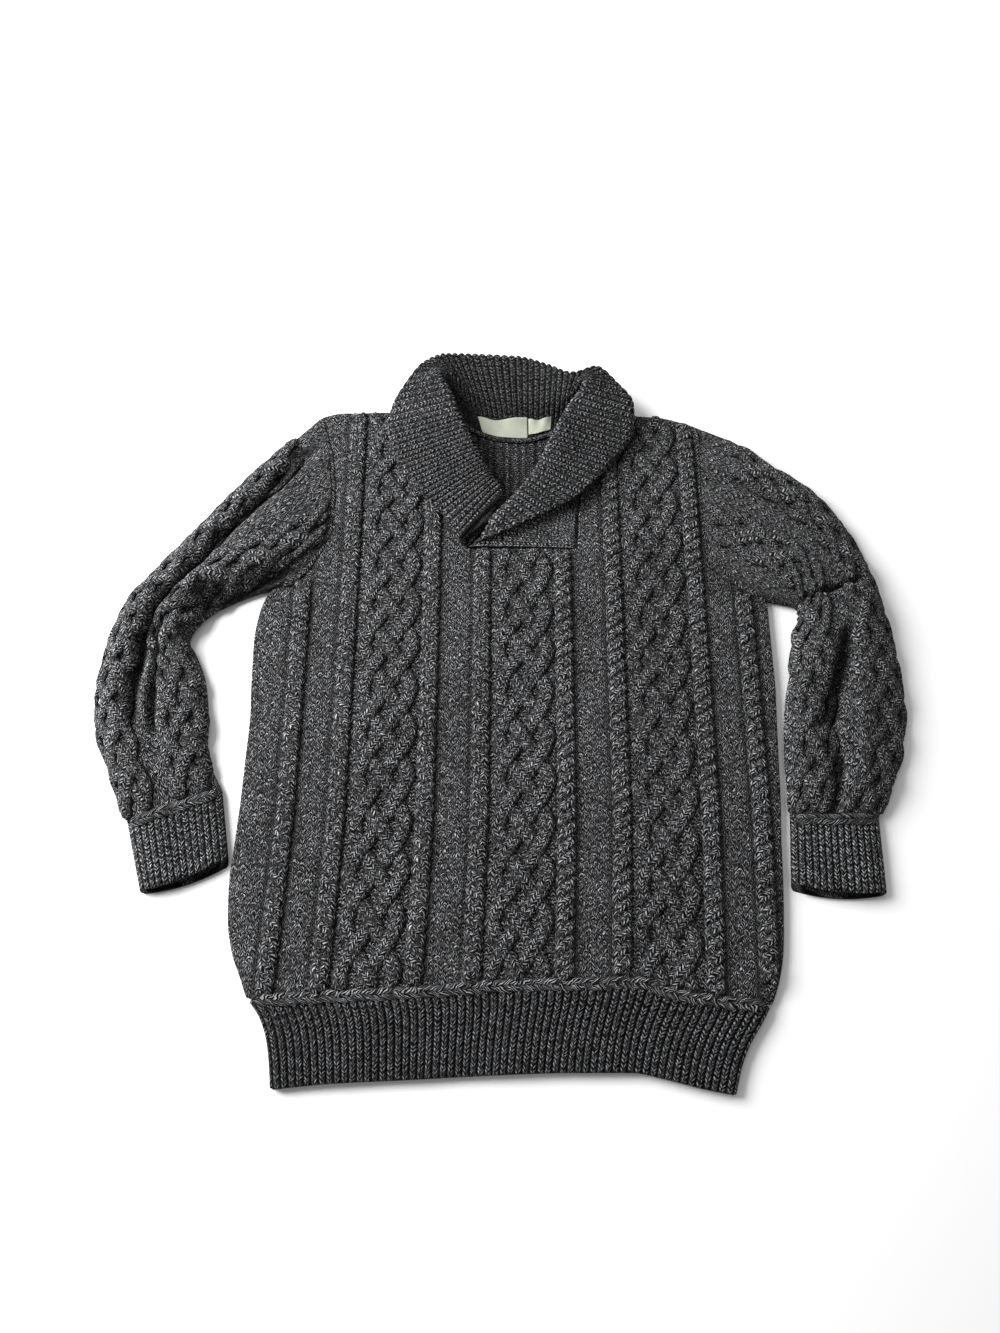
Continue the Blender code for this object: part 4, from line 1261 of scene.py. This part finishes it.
@dataclass
class Hem:
    """The rib band round the bottom: its front and back layers and its linked chain."""

    samples: int = 10
    rows: int = 26

    def plan(self, across: Array, down: Array) -> tuple[Array, Array]:
        """The x and y at a share of the way across and of the way down."""
        left, right = HEM_SIDE_CURVE.at(down)
        top_left, top_right = HEM_SIDE_CURVE.at(np.zeros_like(down))
        link = LINK.at(mix(top_left, top_right, across))[0] - SEAM_GAP / 2
        edge = HEM_EDGE_CURVE.at(mix(HEM_EDGE[0][0], HEM_EDGE[-1][0], across))[0]
        return mix(left, right, across), mix(link, edge, down)

    def height(self, across: Array, down: Array, rib: float) -> Array:
        """The height of the front layer."""
        left, right = HEM_SIDE_CURVE.at(down)
        side = roll(np.minimum(across, 1.0 - across) * (right - left), EDGE_ROLL / 2)
        fade = smooth_step((down - 0.02) / 0.1) * (1.0 - 0.4 * smooth_step((down - 0.95) / 0.05))
        x = mix(left, right, across)
        swell = 0.35 * np.sin(x * 0.035 + 0.6) + 0.25 * np.sin(x * 0.083 + down * 2.0)
        raised = rib * 1.35 * fade * rib_form(across * HEM_RIBS)
        return FRONT_BASE + mix(FRONT_EDGE_WALL, HEM_WALL + raised + swell, side)

    def surface(self, s: Array, t: Array) -> Point3:
        """The front layer's face, in millimetres from its left side and down from its top."""
        across, down = s / HEM_TOP_WIDTH, t / HEM_DEPTH
        x, y = self.plan(across, down)
        return x, y, self.height(across, down, 0.0)

    def grid(self, columns: int, rows: int) -> tuple[Lattice, Array, Array, Array, Array]:
        """A layer's grid inside its rim: the shares across and down, and the x and y."""
        lattice = Lattice(columns, rows)
        margin = RIM / HEM_WIDTH
        across = mix(margin, 1.0 - margin, lattice.across)
        down = mix(1.0 - RIM / HEM_DEPTH, RIM / HEM_DEPTH, lattice.along)
        return lattice, across, down, *self.plan(across, down)

    def build(self) -> list[bpy.types.Object]:
        """Builds both layers and the chain."""
        # The hem's light ply is dimmed, as painted shade.
        finish = Marl("hem_rib", slant=1.1, light=HEM_SHADED_LIGHT_PLY)
        lattice, across, down, x, y = self.grid(HEM_RIBS * self.samples, self.rows)
        ribs, rows = across * HEM_RIBS, -down * HEM_DEPTH / STITCH_TALL
        # Painted shade over the whole front layer, strongest in the valleys between ribs.
        deep = 0.12 + 0.98 * rib_valley(ribs)
        height = self.height(across, down, 1.0)
        bm = lattice.form((x, y, height), (rib_wales(ribs), rows), deep=deep)
        close_panel(bm, FRONT_BASE)
        front = finish_piece("hem_front_layer", bm, finish, "hem_front")
        lattice, across, down, x, y = self.grid(HEM_RIBS * 2, 12)
        stitches = (across * HEM_RIBS * 2 + 0.5, -down * HEM_DEPTH / STITCH_TALL)
        bm = lattice.form((x, y, BACK_TOP), stitches)
        close_panel(bm, 0.0)
        back = finish_piece("hem_back_layer", bm, finish, "hem_back")
        chain = Chain("hem_chain", "hem_front", self.surface, HEM_TOP_WIDTH - 4.0, 0.2).build()
        return [front, back, chain]


# --------------------------------------------------------------------------------------------
# The sleeves
# --------------------------------------------------------------------------------------------


def loft_tube(outer: BMesh, inner: BMesh) -> BMesh:
    """Joins an outer and an inner tube at both ends into one closed wall.

    The bridge between two rings runs the right way round only if they lie well apart along their
    axis, so the inner ring is drawn out of the tube while it is made.

    Args:
        outer: The outer tube, open at both ends.
        inner: The inner tube, open at both ends.

    Returns:
        The closed wall.
    """
    for tube in (outer, inner):
        merge(tube)
    outer_count = len(outer.verts)
    whole = join([outer, inner])
    whole.verts.index_update()
    end_mark = whole.verts.layers.float["along"]
    for first in (True, False):
        edges = [edge for edge in border_edges(whole) if (edge.verts[0][end_mark] < 0.5) == first]
        ring = {vert for edge in edges for vert in edge.verts}
        inner_ring = [vert for vert in ring if vert.index >= outer_count]
        middle = sum((vert.co for vert in inner_ring), Vector()) / len(inner_ring)
        axis = Vector()
        for edge in edges:
            if edge.verts[0].index < outer_count:
                loop = edge.link_loops[0]
                axis += (loop.vert.co - middle).cross(loop.link_loop_next.vert.co - middle)
        away = axis.normalized()
        for vert in inner_ring:
            vert.co += away
        bmesh.ops.bridge_loops(whole, edges=edges)
        for vert in inner_ring:
            vert.co -= away
    return whole


@dataclass(frozen=True)
class TubeSection:
    """The columns round a flattened tube, with so many cells on its upper and lower faces."""

    upper: int
    lower: int

    def outside(self, rows: int) -> tuple[Lattice, Array, Array, Array]:
        """The grid of the tube's outside, which closes on itself.

        Args:
            rows: How many cells it has along.

        Returns:
            The grid, and for each point the share across, the millimetres in from the edge, and
            the level, which is 1 on the upper face, 0 on the lower, and between them at an edge.
        """
        angle = np.linspace(-math.pi / 2, math.pi / 2, self.upper + 1)
        share = [(np.sin(angle) + 1) / 2 * 0.45 + np.linspace(0, 1, self.upper + 1) * 0.55]
        inset, level = [np.zeros(self.upper + 1)], [np.ones(self.upper + 1)]
        turn = np.array([0.3, 0.6, 0.85]) * math.pi / 2
        edge_in, edge_level = SLEEVE_INSET * (1 - np.cos(turn)), 0.999 - np.sin(turn) * 0.998
        share += [np.ones(3), np.linspace(1, 0, self.lower + 1), np.zeros(3), np.zeros(1)]
        inset += [edge_in, np.full(self.lower + 1, SLEEVE_INSET), edge_in[::-1], np.zeros(1)]
        level += [edge_level, np.zeros(self.lower + 1), edge_level[::-1], np.ones(1)]
        share, inset, level = (np.concatenate(parts) for parts in (share, inset, level))
        lattice = Lattice(len(share) - 1, rows)
        column = lattice.column
        return lattice, np.clip(share[column], 0.0, 1.0), inset[column], level[column]

    @staticmethod
    def inside(columns: int, rows: int) -> tuple[Lattice, Array, Array, Array]:
        """The grid of a tube's inside: the share across, whether it is on top, and the bulge."""
        lattice = Lattice(columns, rows)
        turn = lattice.across * 2.0
        share = np.where(turn <= 1.0, turn, 2.0 - turn)
        on_top = (turn <= 1.0) | (turn >= 2.0)
        return lattice, share, on_top, 1.0 - np.abs(2.0 * share - 1.0) ** 4


@dataclass
class Sleeve:
    """One sleeve: a flattened tube with its plaits and long folds."""

    side: str
    rows: int = 150
    section: TubeSection = TubeSection(64, 18)
    strand: Strand = Strand(7.2, 3.1, 3.4)
    reach: float = 21.5
    slit_inset: float = 9.0
    seam_level: float = 7.7
    edge_phase: float = 21.0

    def __post_init__(self) -> None:
        """Reads the sleeve's stations and the body's armhole beside it."""
        rows = SLEEVE_STATIONS[self.side]
        self.stations = Curve([(index / (len(rows) - 1), *row) for index, row in enumerate(rows)])
        way = 1.0 if self.side == "right" else -1.0
        row = np.linspace(ARMPIT_ROW[self.side], ROWS_TO_NECK + ROWS_ABOVE_NECK, 121)
        offset = np.full_like(row, way * BODY_REACH)
        x, y, _ = PLAN.clipped(offset, row * ROW_PITCH, Clip(0.0, 2.5, False), PLAN.shoulders)
        side_x, side_y = sideways(x, y)
        x, y = x + way * side_x * SEAM_GAP, y + way * side_y * SEAM_GAP
        self.seam = Curve(np.stack([np.linspace(0.0, 1.0, len(x)), x, y], 1))

    def place(self, across: Array, along: Array) -> tuple[Array, Array]:
        """The x and y of a point of the sleeve."""
        inner_x, inner_y, outer_x, outer_y, _ = self.stations.at(along)
        x, y = mix(inner_x, outer_x, across), mix(inner_y, outer_y, across)
        fade = np.where(along < HEAD_FADE, 1.0 - smooth_step(along / HEAD_FADE), 0.0)
        first_x, first_y, last_x, last_y, _ = self.stations.at(np.zeros_like(along))
        seam_x, seam_y = self.seam.at(np.clip(across, 0.0, 1.0))
        x = x + (seam_x - mix(first_x, last_x, across)) * fade
        y = y + (seam_y - mix(first_y, last_y, across)) * fade
        return x, y

    def width(self, along: Array) -> Array:
        """The distance between the sleeve's two edges."""
        inner_x, inner_y, outer_x, outer_y, _ = self.stations.at(along)
        return np.hypot(outer_x - inner_x, outer_y - inner_y)

    def fold_depth(self, across: Array, along: Array) -> Array:
        """How far the long folds let the upper face sink."""
        width, depth = self.width(along), np.zeros_like(across)
        for half_width, deep, course in SLEEVE_FOLDS[self.side]:
            start, end = course[0][0], course[-1][0]
            share = (along - start) / (end - start)
            away = np.abs(across - Curve(course).at(along)[0]) * width / half_width
            ends = smooth_step(np.minimum(share, 1.0 - share) * 5.0)
            depth = depth + deep * ends * np.exp(-(away**2))
        return depth

    def height(self, across: Array, along: Array) -> Array:
        """The height of the upper face without its cables."""
        high = self.stations.at(along)[4]
        crown = np.sqrt(np.clip(1.0 - np.abs(2.0 * across - 1.0) ** 3, 0.0, 1.0))
        seam = roll(np.minimum(along, 1.0 - along) * SLEEVE_RUN, SEAM_ROLL * 2)
        wander = 0.5 * np.sin(along * 31.0 + across * 5.0)
        wander = wander + 0.4 * np.sin(along * 17.0 - across * 9.0)
        body = mix(SLEEVE_RIM, high, crown)
        lift = (wander - self.fold_depth(across, along)) * seam * crown
        return np.maximum(body + lift, np.minimum(body, mix(SLEEVE_RIM, SLEEVE_FLOOR, crown)))

    def shade(self, across: Array, along: Array) -> Array:
        """The painted shade of the folds, darker where they sink deeper."""
        return 0.85 * smooth_step((self.fold_depth(across, along) - 1.5) / 9.0)

    def surface(self, s: Array, t: Array) -> Point3:
        """The upper face, in millimetres in from its outer edge and along the sleeve."""
        along = t / SLEEVE_RUN
        width = self.width(along)
        past_outer, past_inner = np.clip(-s, 0.0, 12.0), np.clip(s - width, 0.0, 12.0)
        turn = (past_outer + past_inner) / 6.0
        reach = 5.0 * (np.tanh(past_outer / 5.0) - np.tanh(past_inner / 5.0))
        reach = reach * smooth_step((1.0 - along) * 7.0)
        across = np.clip(1.0 - s / width, 0.0, 1.0)
        x, y = self.place(across + reach / width, along)
        return x, y, self.height(across, along) - 2.2 * (1.0 - np.cos(np.clip(turn, 0.0, 1.5)))

    def tube(self) -> BMesh:
        """The sleeve's wall."""
        lattice, share, inset, raised = self.section.outside(self.rows)
        along = lattice.along
        width = self.width(along)
        edge = inset / width
        across = mix(edge, 1.0 - edge, share)
        x, y = self.place(across, along)
        z = np.where(raised >= 1.0, self.height(across, along), SLEEVE_RIM * raised)
        stitches = ((1.0 - across) * width / STITCH_WIDE, along * SLEEVE_RUN / STITCH_TALL)
        # The upper face carries the folds' painted shade.
        deep = np.where(raised >= 1.0, self.shade(across, along), 0.0)
        outer = lattice.form((x, y, z), stitches, moss=1.0, along=along, deep=deep)
        lattice, share, on_top, bulge = self.section.inside(24, 36)
        along = lattice.along
        edge = self.slit_inset / self.width(along)
        across = mix(edge, 1.0 - edge, share)
        x, y = self.place(across, along)
        ceiling = np.maximum(self.height(across, along) - SLEEVE_WALL, BACK_TOP + 0.5)
        z = np.where(on_top, mix(BACK_TOP + 0.2, ceiling, bulge), BACK_TOP)
        inner = lattice.form((x, y, z), (across * 30.0, along * 90.0), moss=1.0, along=along)
        return loft_tube(outer, inner)

    def plait(self, rows: tuple, phase: float, seed: float) -> list[BMesh]:
        """The strands of a plait.

        Args:
            rows: Its course: share along, middle from the outer edge, share of its width.
            phase: How far its crossings are shifted, which is also where it starts.
            seed: Shifts its stitches.

        Returns:
            The strands' meshes.
        """
        course = Curve(rows)

        def along_course(s: Array, t: Array) -> Point3:
            """The face, with the plait's middle at zero."""
            middle, squeeze = course.at(t / SLEEVE_RUN)
            return self.surface(middle + s * squeeze, t)

        def shade(s: Array, t: Array) -> Array:
            """The folds' painted shade there."""
            middle, squeeze = course.at(t / SLEEVE_RUN)
            along = t / SLEEVE_RUN
            across = 1.0 - (middle + s * squeeze) / self.width(along)
            return self.shade(np.clip(across, 0.0, 1.0), along)

        path = np.linspace(0.0, SLEEVE_RUN, 200)
        length = path_length(np.stack(along_course(np.zeros_like(path), path), -1))

        def clock(t: Array) -> Array:
            """The millimetres of cloth up to a place along the sleeve."""
            return np.interp(t, path, length)

        plait = Plait(0.0, phase, shade, self.reach, self.strand, 2.6, clock=clock)
        return plait.strands(along_course, 4.0 + phase, SLEEVE_RUN - 3.0, seed + phase / 99.0)

    def seam_strand(self) -> BMesh:
        """The seam that joins the sleeve to the body, as a soft ridge of edge stitches."""
        share = np.linspace(0.02, 0.985, 110)
        x, y = self.seam.at(share)
        run = share * path_length(np.stack([x, y], -1))[-1]
        joint = seam_surface(run, x, y, np.full_like(x, self.seam_level))
        wobble, lift = 0.5 * np.sin(run * 0.3), 0.2 * np.sin(run * 0.19)
        # The seam strand is darkened evenly, as painted shade.
        return Strand(4.6, 1.9, 2.0, 10).lay(joint, wobble, run, lift, 0.5, 0.25)

    def build(self) -> list[bpy.types.Object]:
        """Builds the sleeve and its cables."""
        bm = self.tube()
        node = "sleeve_" + self.side
        tube = finish_piece(node + "_tube", bm, Marl(node + "_moss", **MOSS), node)
        seed = 0.3 if self.side == "left" else 0.6
        strands = self.plait(PLAIT_COURSES[self.side], 0.0, seed)
        strands += self.plait(EDGE_COURSES[self.side], self.edge_phase, seed)
        strands.append(self.seam_strand())
        cables = finish_piece(
            node + "_cables", join(strands), Marl(node + "_cable"), node, stands=False
        )
        return [tube, cables]


@dataclass
class Cuff:
    """A rib cuff: a short flattened tube with an open mouth and a linked chain."""

    side: str
    rows: int = 26
    section: TubeSection = TubeSection(CUFF_RIBS * 8, CUFF_RIBS * 3)
    slit_inset: float = 6.5

    def __post_init__(self) -> None:
        """Works out the cuff's length and width."""
        (x0, y0, x1, y1), (x2, y2, x3, y3) = CUFF_ENDS[self.side]
        self.length = math.hypot((x2 + x3 - x0 - x1) / 2, (y2 + y3 - y0 - y1) / 2)
        self.width = math.hypot(x1 - x0, y1 - y0)

    def place(self, across: Array, down: Array) -> tuple[Array, Array]:
        """The x and y of a point of the cuff."""
        (x0, y0, x1, y1), (x2, y2, x3, y3) = CUFF_ENDS[self.side]
        x = mix(mix(x0, x1, across), mix(x2, x3, across), down)
        y = mix(mix(y0, y1, across), mix(y2, y3, across), down)
        return x, y - CUFF_BULGE * np.clip(down, 0.0, None) ** 2 * (1.0 - (2.0 * across - 1.0) ** 2)

    def height(self, across: Array, down: Array, rib: float) -> Array:
        """The height of the upper face."""
        crown = np.sqrt(np.clip(1.0 - np.abs(2.0 * across - 1.0) ** 4, 0.0, 1.0))
        fade = smooth_step((down - 0.03) / 0.12)
        wave = 1.3 * rib * fade * rib_form(across * CUFF_RIBS + 0.5)
        lip = -1.2 * smooth_step((down - 0.9) / 0.1)
        return mix(SLEEVE_RIM, CUFF_TOP + lip + wave + 0.5 * np.sin(across * 9.0 + 1.0), crown)

    def surface(self, s: Array, t: Array) -> Point3:
        """The upper face, in millimetres in from its outer edge and down from the sleeve."""
        across, down = np.clip(1.0 - s / self.width, 0.0, 1.0), t / self.length
        x, y = self.place(across, down)
        return x, y, self.height(across, down, 0.0)

    def layer_step(self, across: Array) -> Array:
        """How much longer the lower layer is, as a share of the cuff's length."""
        return CUFF_LAYER_STEP / self.length * (1.35 - 0.9 * across)

    def tube(self) -> BMesh:
        """The cuff's wall."""
        start = SEAM_GAP / self.length
        lattice, share, inset, raised = self.section.outside(self.rows)
        edge = inset / self.width
        across = mix(edge, 1.0 - edge, share)
        longer = 1.0 + self.layer_step(across) * (1.0 - raised)
        down = mix(start, longer, lattice.along)
        x, y = self.place(across, down)
        z = np.where(raised >= 1.0, self.height(across, down, 1.0), SLEEVE_RIM * raised)
        ribs = across * CUFF_RIBS + 0.5
        stitches = (rib_wales(ribs), -down * self.length / STITCH_TALL)
        # Painted shade in the valleys between ribs.
        outer = lattice.form((x, y, z), stitches, along=lattice.along, deep=rib_valley(ribs))
        lattice, share, on_top, bulge = self.section.inside(40, 10)
        edge = self.slit_inset / self.width
        across = mix(edge, 1.0 - edge, share)
        longer = np.where(on_top, 1.0, 1.0 + self.layer_step(across))
        down = mix(start, longer, lattice.along)
        x, y = self.place(across, down)
        ceiling = self.height(across, down, 0.0) - HEM_WALL
        ground = mix(CUFF_FLOOR, BACK_TOP, 1.0 - bulge)
        z = np.where(on_top, mix(BACK_TOP + 0.2, ceiling, bulge), ground)
        stitches = (share * CUFF_RIBS * 2, down * self.length / STITCH_TALL)
        # Painted shade over the cuff's inside.
        inner = lattice.form((x, y, z), stitches, along=lattice.along, deep=0.3)
        return loft_tube(outer, inner)

    def build(self) -> list[bpy.types.Object]:
        """Builds the cuff and its chain."""
        node = "cuff_" + self.side
        # The cuffs' light ply is brighter, as painted light.
        finish = Marl(node + "_rib", slant=1.1, light=CUFF_LIT_LIGHT_PLY)
        tube = finish_piece(node + "_tube", self.tube(), finish, node)
        chain = Chain(node + "_chain", node, self.surface, self.width - 4.0, 0.4).build()
        return [tube, chain]


# --------------------------------------------------------------------------------------------
# The collar
# --------------------------------------------------------------------------------------------


@dataclass
class Collar:
    """The shawl collar: a rib band that turns out over a crest."""

    samples: int = 6
    up_steps: int = 36

    def __post_init__(self) -> None:
        """Works out the band's middle surface from the table."""
        rows = [self.section(*row) for row in COLLAR_ROWS]
        places = [0.0]
        for before, after in zip(rows, rows[1:]):
            seam = np.linalg.norm(after[0] - before[0])
            edge = np.linalg.norm(after[-1] - before[-1])
            places.append(places[-1] + max(4.0, (seam + edge) / 2))
        flat = [(place / places[-1], *np.concatenate(row)) for place, row in zip(places, rows)]
        self.curve = Curve(flat)
        self.steps = len(rows[0]) - 1

    def section(self, seam: tuple, crest: tuple, edge: tuple, drop: float) -> list[Array]:
        """The points up one section: the lower leg, the rounded crest and the upper leg."""
        seam, crest, edge = (np.array(point, dtype=float) for point in (seam, crest, edge))

        def reach(run: Array) -> Array:
            """The plan direction of a run, as long as the fold's reach."""
            flat = run * np.array([1.0, 1.0, 0.0])
            return flat / np.linalg.norm(flat) * FOLD_REACH

        low = crest - reach(crest - seam) - np.array([0.0, 0.0, drop])
        tip = crest - np.array([0.0, 0.0, drop / 2])
        high = crest + reach(edge - crest)
        if drop < FOLD_REACH / 2:
            low[2] = mix(seam[2], crest[2], 1.0 - FOLD_REACH / np.linalg.norm(crest - seam))
            high[2] = mix(crest[2], edge[2], FOLD_REACH / np.linalg.norm(edge - crest))
        middle_low = (seam + low) / 2
        middle_low[2] = mix(seam[2], low[2], LOWER_LEG_SAG)
        return [seam, middle_low, low, tip, high, (high + edge) / 2, edge]

    def centre(self, along: Array, up: Value) -> Array:
        """Points of the middle surface; up goes from 0 at the seam to 1 at the free edge."""
        values = np.stack(self.curve.at(along), -1).reshape(*np.shape(along), self.steps + 1, 3)
        place = np.clip(np.broadcast_to(up, along.shape) * self.steps, 0.0, self.steps - 1e-6)
        index = place.astype(int)
        share = (place - index)[..., None]
        rows = np.arange(len(index))
        first, second = values[rows, index], values[rows, index + 1]
        before = values[rows, np.maximum(index - 1, 0)]
        after = values[rows, np.minimum(index + 2, self.steps)]
        leave, arrive = (second - before) / 2, (after - first) / 2
        square, cube = share**2, share**3
        return (
            first * (2 * cube - 3 * square + 1)
            + leave * (cube - 2 * square + share)
            + second * (3 * square - 2 * cube)
            + arrive * (cube - square)
        )

    def across(self, along: Array, up: Array, reach: float) -> tuple[Array, Array]:
        """The way along the band between two places beside one, and how far they are apart."""
        before, after = np.clip(along - reach, 0.0, 1.0), np.clip(along + reach, 0.0, 1.0)
        return self.centre(after, up) - self.centre(before, up), after - before

    def normal(self, along: Array, up: Array) -> Array:
        """The direction out of the face that turns outward on the flaps."""
        low, high = np.clip(up - 0.05, 0.0, 1.0), np.clip(up + 0.05, 0.0, 1.0)
        up_way = self.centre(along, high) - self.centre(along, low)
        return unit(np.cross(self.across(along, up, 0.004)[0], up_way))

    def room(self, along: Array, up: Array) -> Array:
        """One where the ribs have their full width, and less where the band crowds them."""
        step = 1.0 / (2 * COLLAR_RIBS)
        way, apart = self.across(along, up, step)
        run = np.linalg.norm(way, axis=-1)
        return np.clip(run / apart * step / CROWDED_COLUMN, 0.3, 1.0)

    def place_of(self, x: float) -> float:
        """The place along the back neck where the seam has this x."""
        along = np.linspace(0.3, 0.62, 400)
        return float(np.interp(x, self.centre(along, 0.0)[:, 0], along))

    def half_wall(self, up: Array, room: Array) -> Array:
        """Half the wall's thickness, which rounds off at both edges."""
        end = roll(np.minimum(up, 1.0 - up) * 90.0, 2.5)
        return COLLAR_WALL / 2 * mix(0.55, 1.0, room) * mix(0.45, 1.0, end)

    def bowl(self, along: Array) -> Array:
        """One where the band stands up round the back neck."""
        return smooth_step((along - 0.3) / 0.08) * smooth_step((0.64 - along) / 0.08)

    def scallops(self, along: Array, up: Array) -> Array:
        """How the ribs push the free edge out where the band stands."""
        push = 0.9 * self.bowl(along) * smooth_step((up - 0.92) / 0.08)
        push = push * rib_form(along * COLLAR_RIBS)
        way = self.centre(along, 1.0) - self.centre(along, 0.95)
        return way / np.linalg.norm(way, axis=-1, keepdims=True) * push[:, None]

    def stitch_rows(self, lattice: Lattice) -> Array:
        """The rows of stitches up to each point, by the length of its column."""
        spots = np.empty((self.up_steps + 1, COLLAR_RIBS * self.samples + 1, 3))
        spots[lattice.row, lattice.column] = self.centre(lattice.across, lattice.along)
        return path_length(spots)[lattice.row, lattice.column] / STITCH_TALL

    def face(self, out: float) -> BMesh:
        """The band's face to one side: 1 for the one that turns outward on the flaps, or -1."""
        lattice = Lattice(COLLAR_RIBS * self.samples, self.up_steps)
        along, up = lattice.across, lattice.along
        room = self.room(along, up)
        wave = COLLAR_WAVE * room**2 * rib_form(along * COLLAR_RIBS) * out
        lift = (wave + out * self.half_wall(up, room))[:, None]
        points = self.centre(along, up) + self.normal(along, up) * lift
        points = points + self.scallops(along, up)
        ribs = along * COLLAR_RIBS + (out < 0.0) * 0.5
        # Painted shade in the valleys between ribs.
        deep = 0.9 * rib_valley(ribs)
        # Painted shade darkens the standing band's inside round the back neck; painted light
        # brightens the flat lap under the right flap, where the flap's shadow falls.
        low = self.bowl(along) * (out > 0.0) * mix(0.72, 0.4, up)
        low = low - 1.2 * (out < 0.0) * smooth_step((along - 0.86) / 0.06)
        stitches = (rib_wales(ribs), self.stitch_rows(lattice))
        return lattice.form(tuple(points.T), stitches, deep=deep + (1.0 - deep) * low)

    def seam_strand(self) -> BMesh:
        """The seam that joins the band to the back neckline, as a row of edge stitches."""
        along = np.linspace(self.place_of(-58.0), self.place_of(66.0), 80)
        x, y, z = self.centre(along, 0.0).T
        length = path_length(np.stack([x, y], -1))
        joint = seam_surface(length, x, y, z)
        side, lift = np.full_like(length, 1.6), 2.6 + 0.25 * np.sin(length * 0.4)
        # The seam strand is darkened evenly, as painted shade.
        return Strand(3.0, 1.7, 1.6, 10).lay(joint, side, length, lift, 0.7, 0.2)

    def build(self) -> list[bpy.types.Object]:
        """Builds the band and its seam."""
        bm = join([self.face(1.0), self.face(-1.0)])
        bmesh.ops.bridge_loops(bm, edges=border_edges(bm))
        stitch_corners(bm)
        # The collar's light ply is dimmed, as painted shade.
        finish = Marl("collar_rib", slant=0.9, drift=0.6, light=COLLAR_SHADED_LIGHT_PLY)
        band = finish_piece("collar_band", bm, finish, "collar")
        strand = join([self.seam_strand()])
        seam = finish_piece("collar_seam", strand, Marl("collar_seam_wool"), "collar", stands=False)
        return [band, seam]


@dataclass
class Label:
    """A woven label that lies on the collar's inner face at the back neck."""

    node: str
    collar: Collar
    wall: float = 0.5

    def build(self) -> list[bpy.types.Object]:
        """Builds the label."""
        start, end, low, high, sag, size = LABELS[self.node]
        first, last = self.collar.place_of(start), self.collar.place_of(end)
        lattice = Lattice(40, 16)
        across, rise = lattice.across, lattice.along
        along = mix(first, last, across)
        up = mix(low, high * (1.0 - sag * (1.0 - across) ** 2), rise) / self.collar.steps
        normal = self.collar.normal(np.full_like(along, (first + last) / 2), up)
        lift = COLLAR_WALL / 2 + COLLAR_WAVE + 0.9 + 1.3 * np.sin(math.pi * across) ** 2
        lift = lift + 1.0 * np.sin(across * 9.5 + 0.4) * rise + 0.4 * rise
        bend = np.sin(across * 7.5 + 1.4) + 0.25 * np.sin(across * 13.0)
        up = up + (0.005 * rise + 0.003) * bend
        points = self.collar.centre(along, up) + normal * lift[:, None]
        bm = lattice.form(tuple(points.T), (across, rise))
        bmesh.ops.solidify(bm, geom=bm.faces[:], thickness=self.wall * MM)
        finish = LabelCloth(self.node + "_weave")
        piece = finish_piece(self.node + "_tape", bm, finish, self.node)
        return [piece]


# --------------------------------------------------------------------------------------------
# The studio
# --------------------------------------------------------------------------------------------


@dataclass(frozen=True)
class Studio:
    """A plain pale floor, soft light and the camera."""

    lens: float = 27.034
    sensor: float = 36.0
    pitch: float = 70.0
    camera_height: float = 0.9825
    camera_foot: tuple[float, float] = (-12.0, 53.0)
    floor_size: float = 8.0
    floor_drop: float = 0.2
    room_light: float = 0.33
    lights: tuple = (
        ("key", (-1.5, 0.68, 1.0), 1.5, 112.0),
        ("fill", (0.1, 1.7, 1.7), 1.8, 12.0),
    )

    def build_floor(self) -> None:
        """Makes the floor."""
        bm = bmesh.new()
        bmesh.ops.create_grid(bm, x_segments=1, y_segments=1, size=self.floor_size / 2)
        bmesh.ops.translate(bm, verts=bm.verts[:], vec=(0.0, 0.0, -self.floor_drop * MM))
        mesh = bpy.data.meshes.new("floor")
        bm.to_mesh(mesh)
        bm.free()
        floor = place_object("floor", mesh)
        tree = NodeTree("floor_paint")
        patch = tree.cloud(tree.place(), 3.0, 2.0)
        colour = tree.tint((0.84, 0.84, 0.84, 1.0), (0.86, 0.86, 0.86, 1.0), patch)
        tree.dress({"Base Color": colour, "Roughness": 0.9, "Specular IOR Level": 0.1})
        mesh.materials.append(tree.material)

    def build_lights(self) -> None:
        """Makes the soft key light from the upper left, and the light all round."""
        world = bpy.data.worlds.new("studio")
        bpy.context.scene.world = world
        world.use_nodes = True
        background = world.node_tree.nodes["Background"]
        background.inputs["Color"].default_value = (1.0, 1.0, 1.0, 1.0)
        background.inputs["Strength"].default_value = self.room_light
        for name, spot, size, power in self.lights:
            light = bpy.data.lights.new(name, "AREA")
            light.shape = "DISK"
            light.size = size
            light.energy = power
            placed = place_object(name, light)
            placed.location = spot
            placed.rotation_euler = (-Vector(spot)).to_track_quat("-Z", "Y").to_euler()

    def build_camera(self) -> None:
        """Makes the camera at the photograph's height and angle."""
        camera = bpy.data.cameras.new("camera")
        camera.sensor_width = self.sensor
        camera.lens = self.lens
        placed = place_object("camera", camera)
        foot = PLACING.metres(np.array([[*self.camera_foot, 0.0]]))[0]
        placed.location = (foot[0], foot[1], self.camera_height)
        placed.rotation_euler = (math.radians(90.0 - self.pitch), 0.0, 0.0)
        bpy.context.scene.camera = placed

    def build(self) -> None:
        """Makes the whole studio."""
        bpy.context.scene.view_settings.view_transform = "Standard"
        self.build_floor()
        self.build_lights()
        self.build_camera()


def main() -> None:
    """Builds the sweater piece by piece, and the studio round it."""
    logging.basicConfig(level=logging.INFO, format="%(message)s")
    Studio().build()
    makers = [Back(), Front(), Hem(), Sleeve("left"), Sleeve("right"), Cuff("left"), Cuff("right")]
    collar = Collar()
    makers += [collar, *(Label(node, collar) for node in LABELS)]
    for maker in makers:
        for piece in maker.build():
            log.info("made %s", piece.name)


if __name__ == "__main__":
    main()
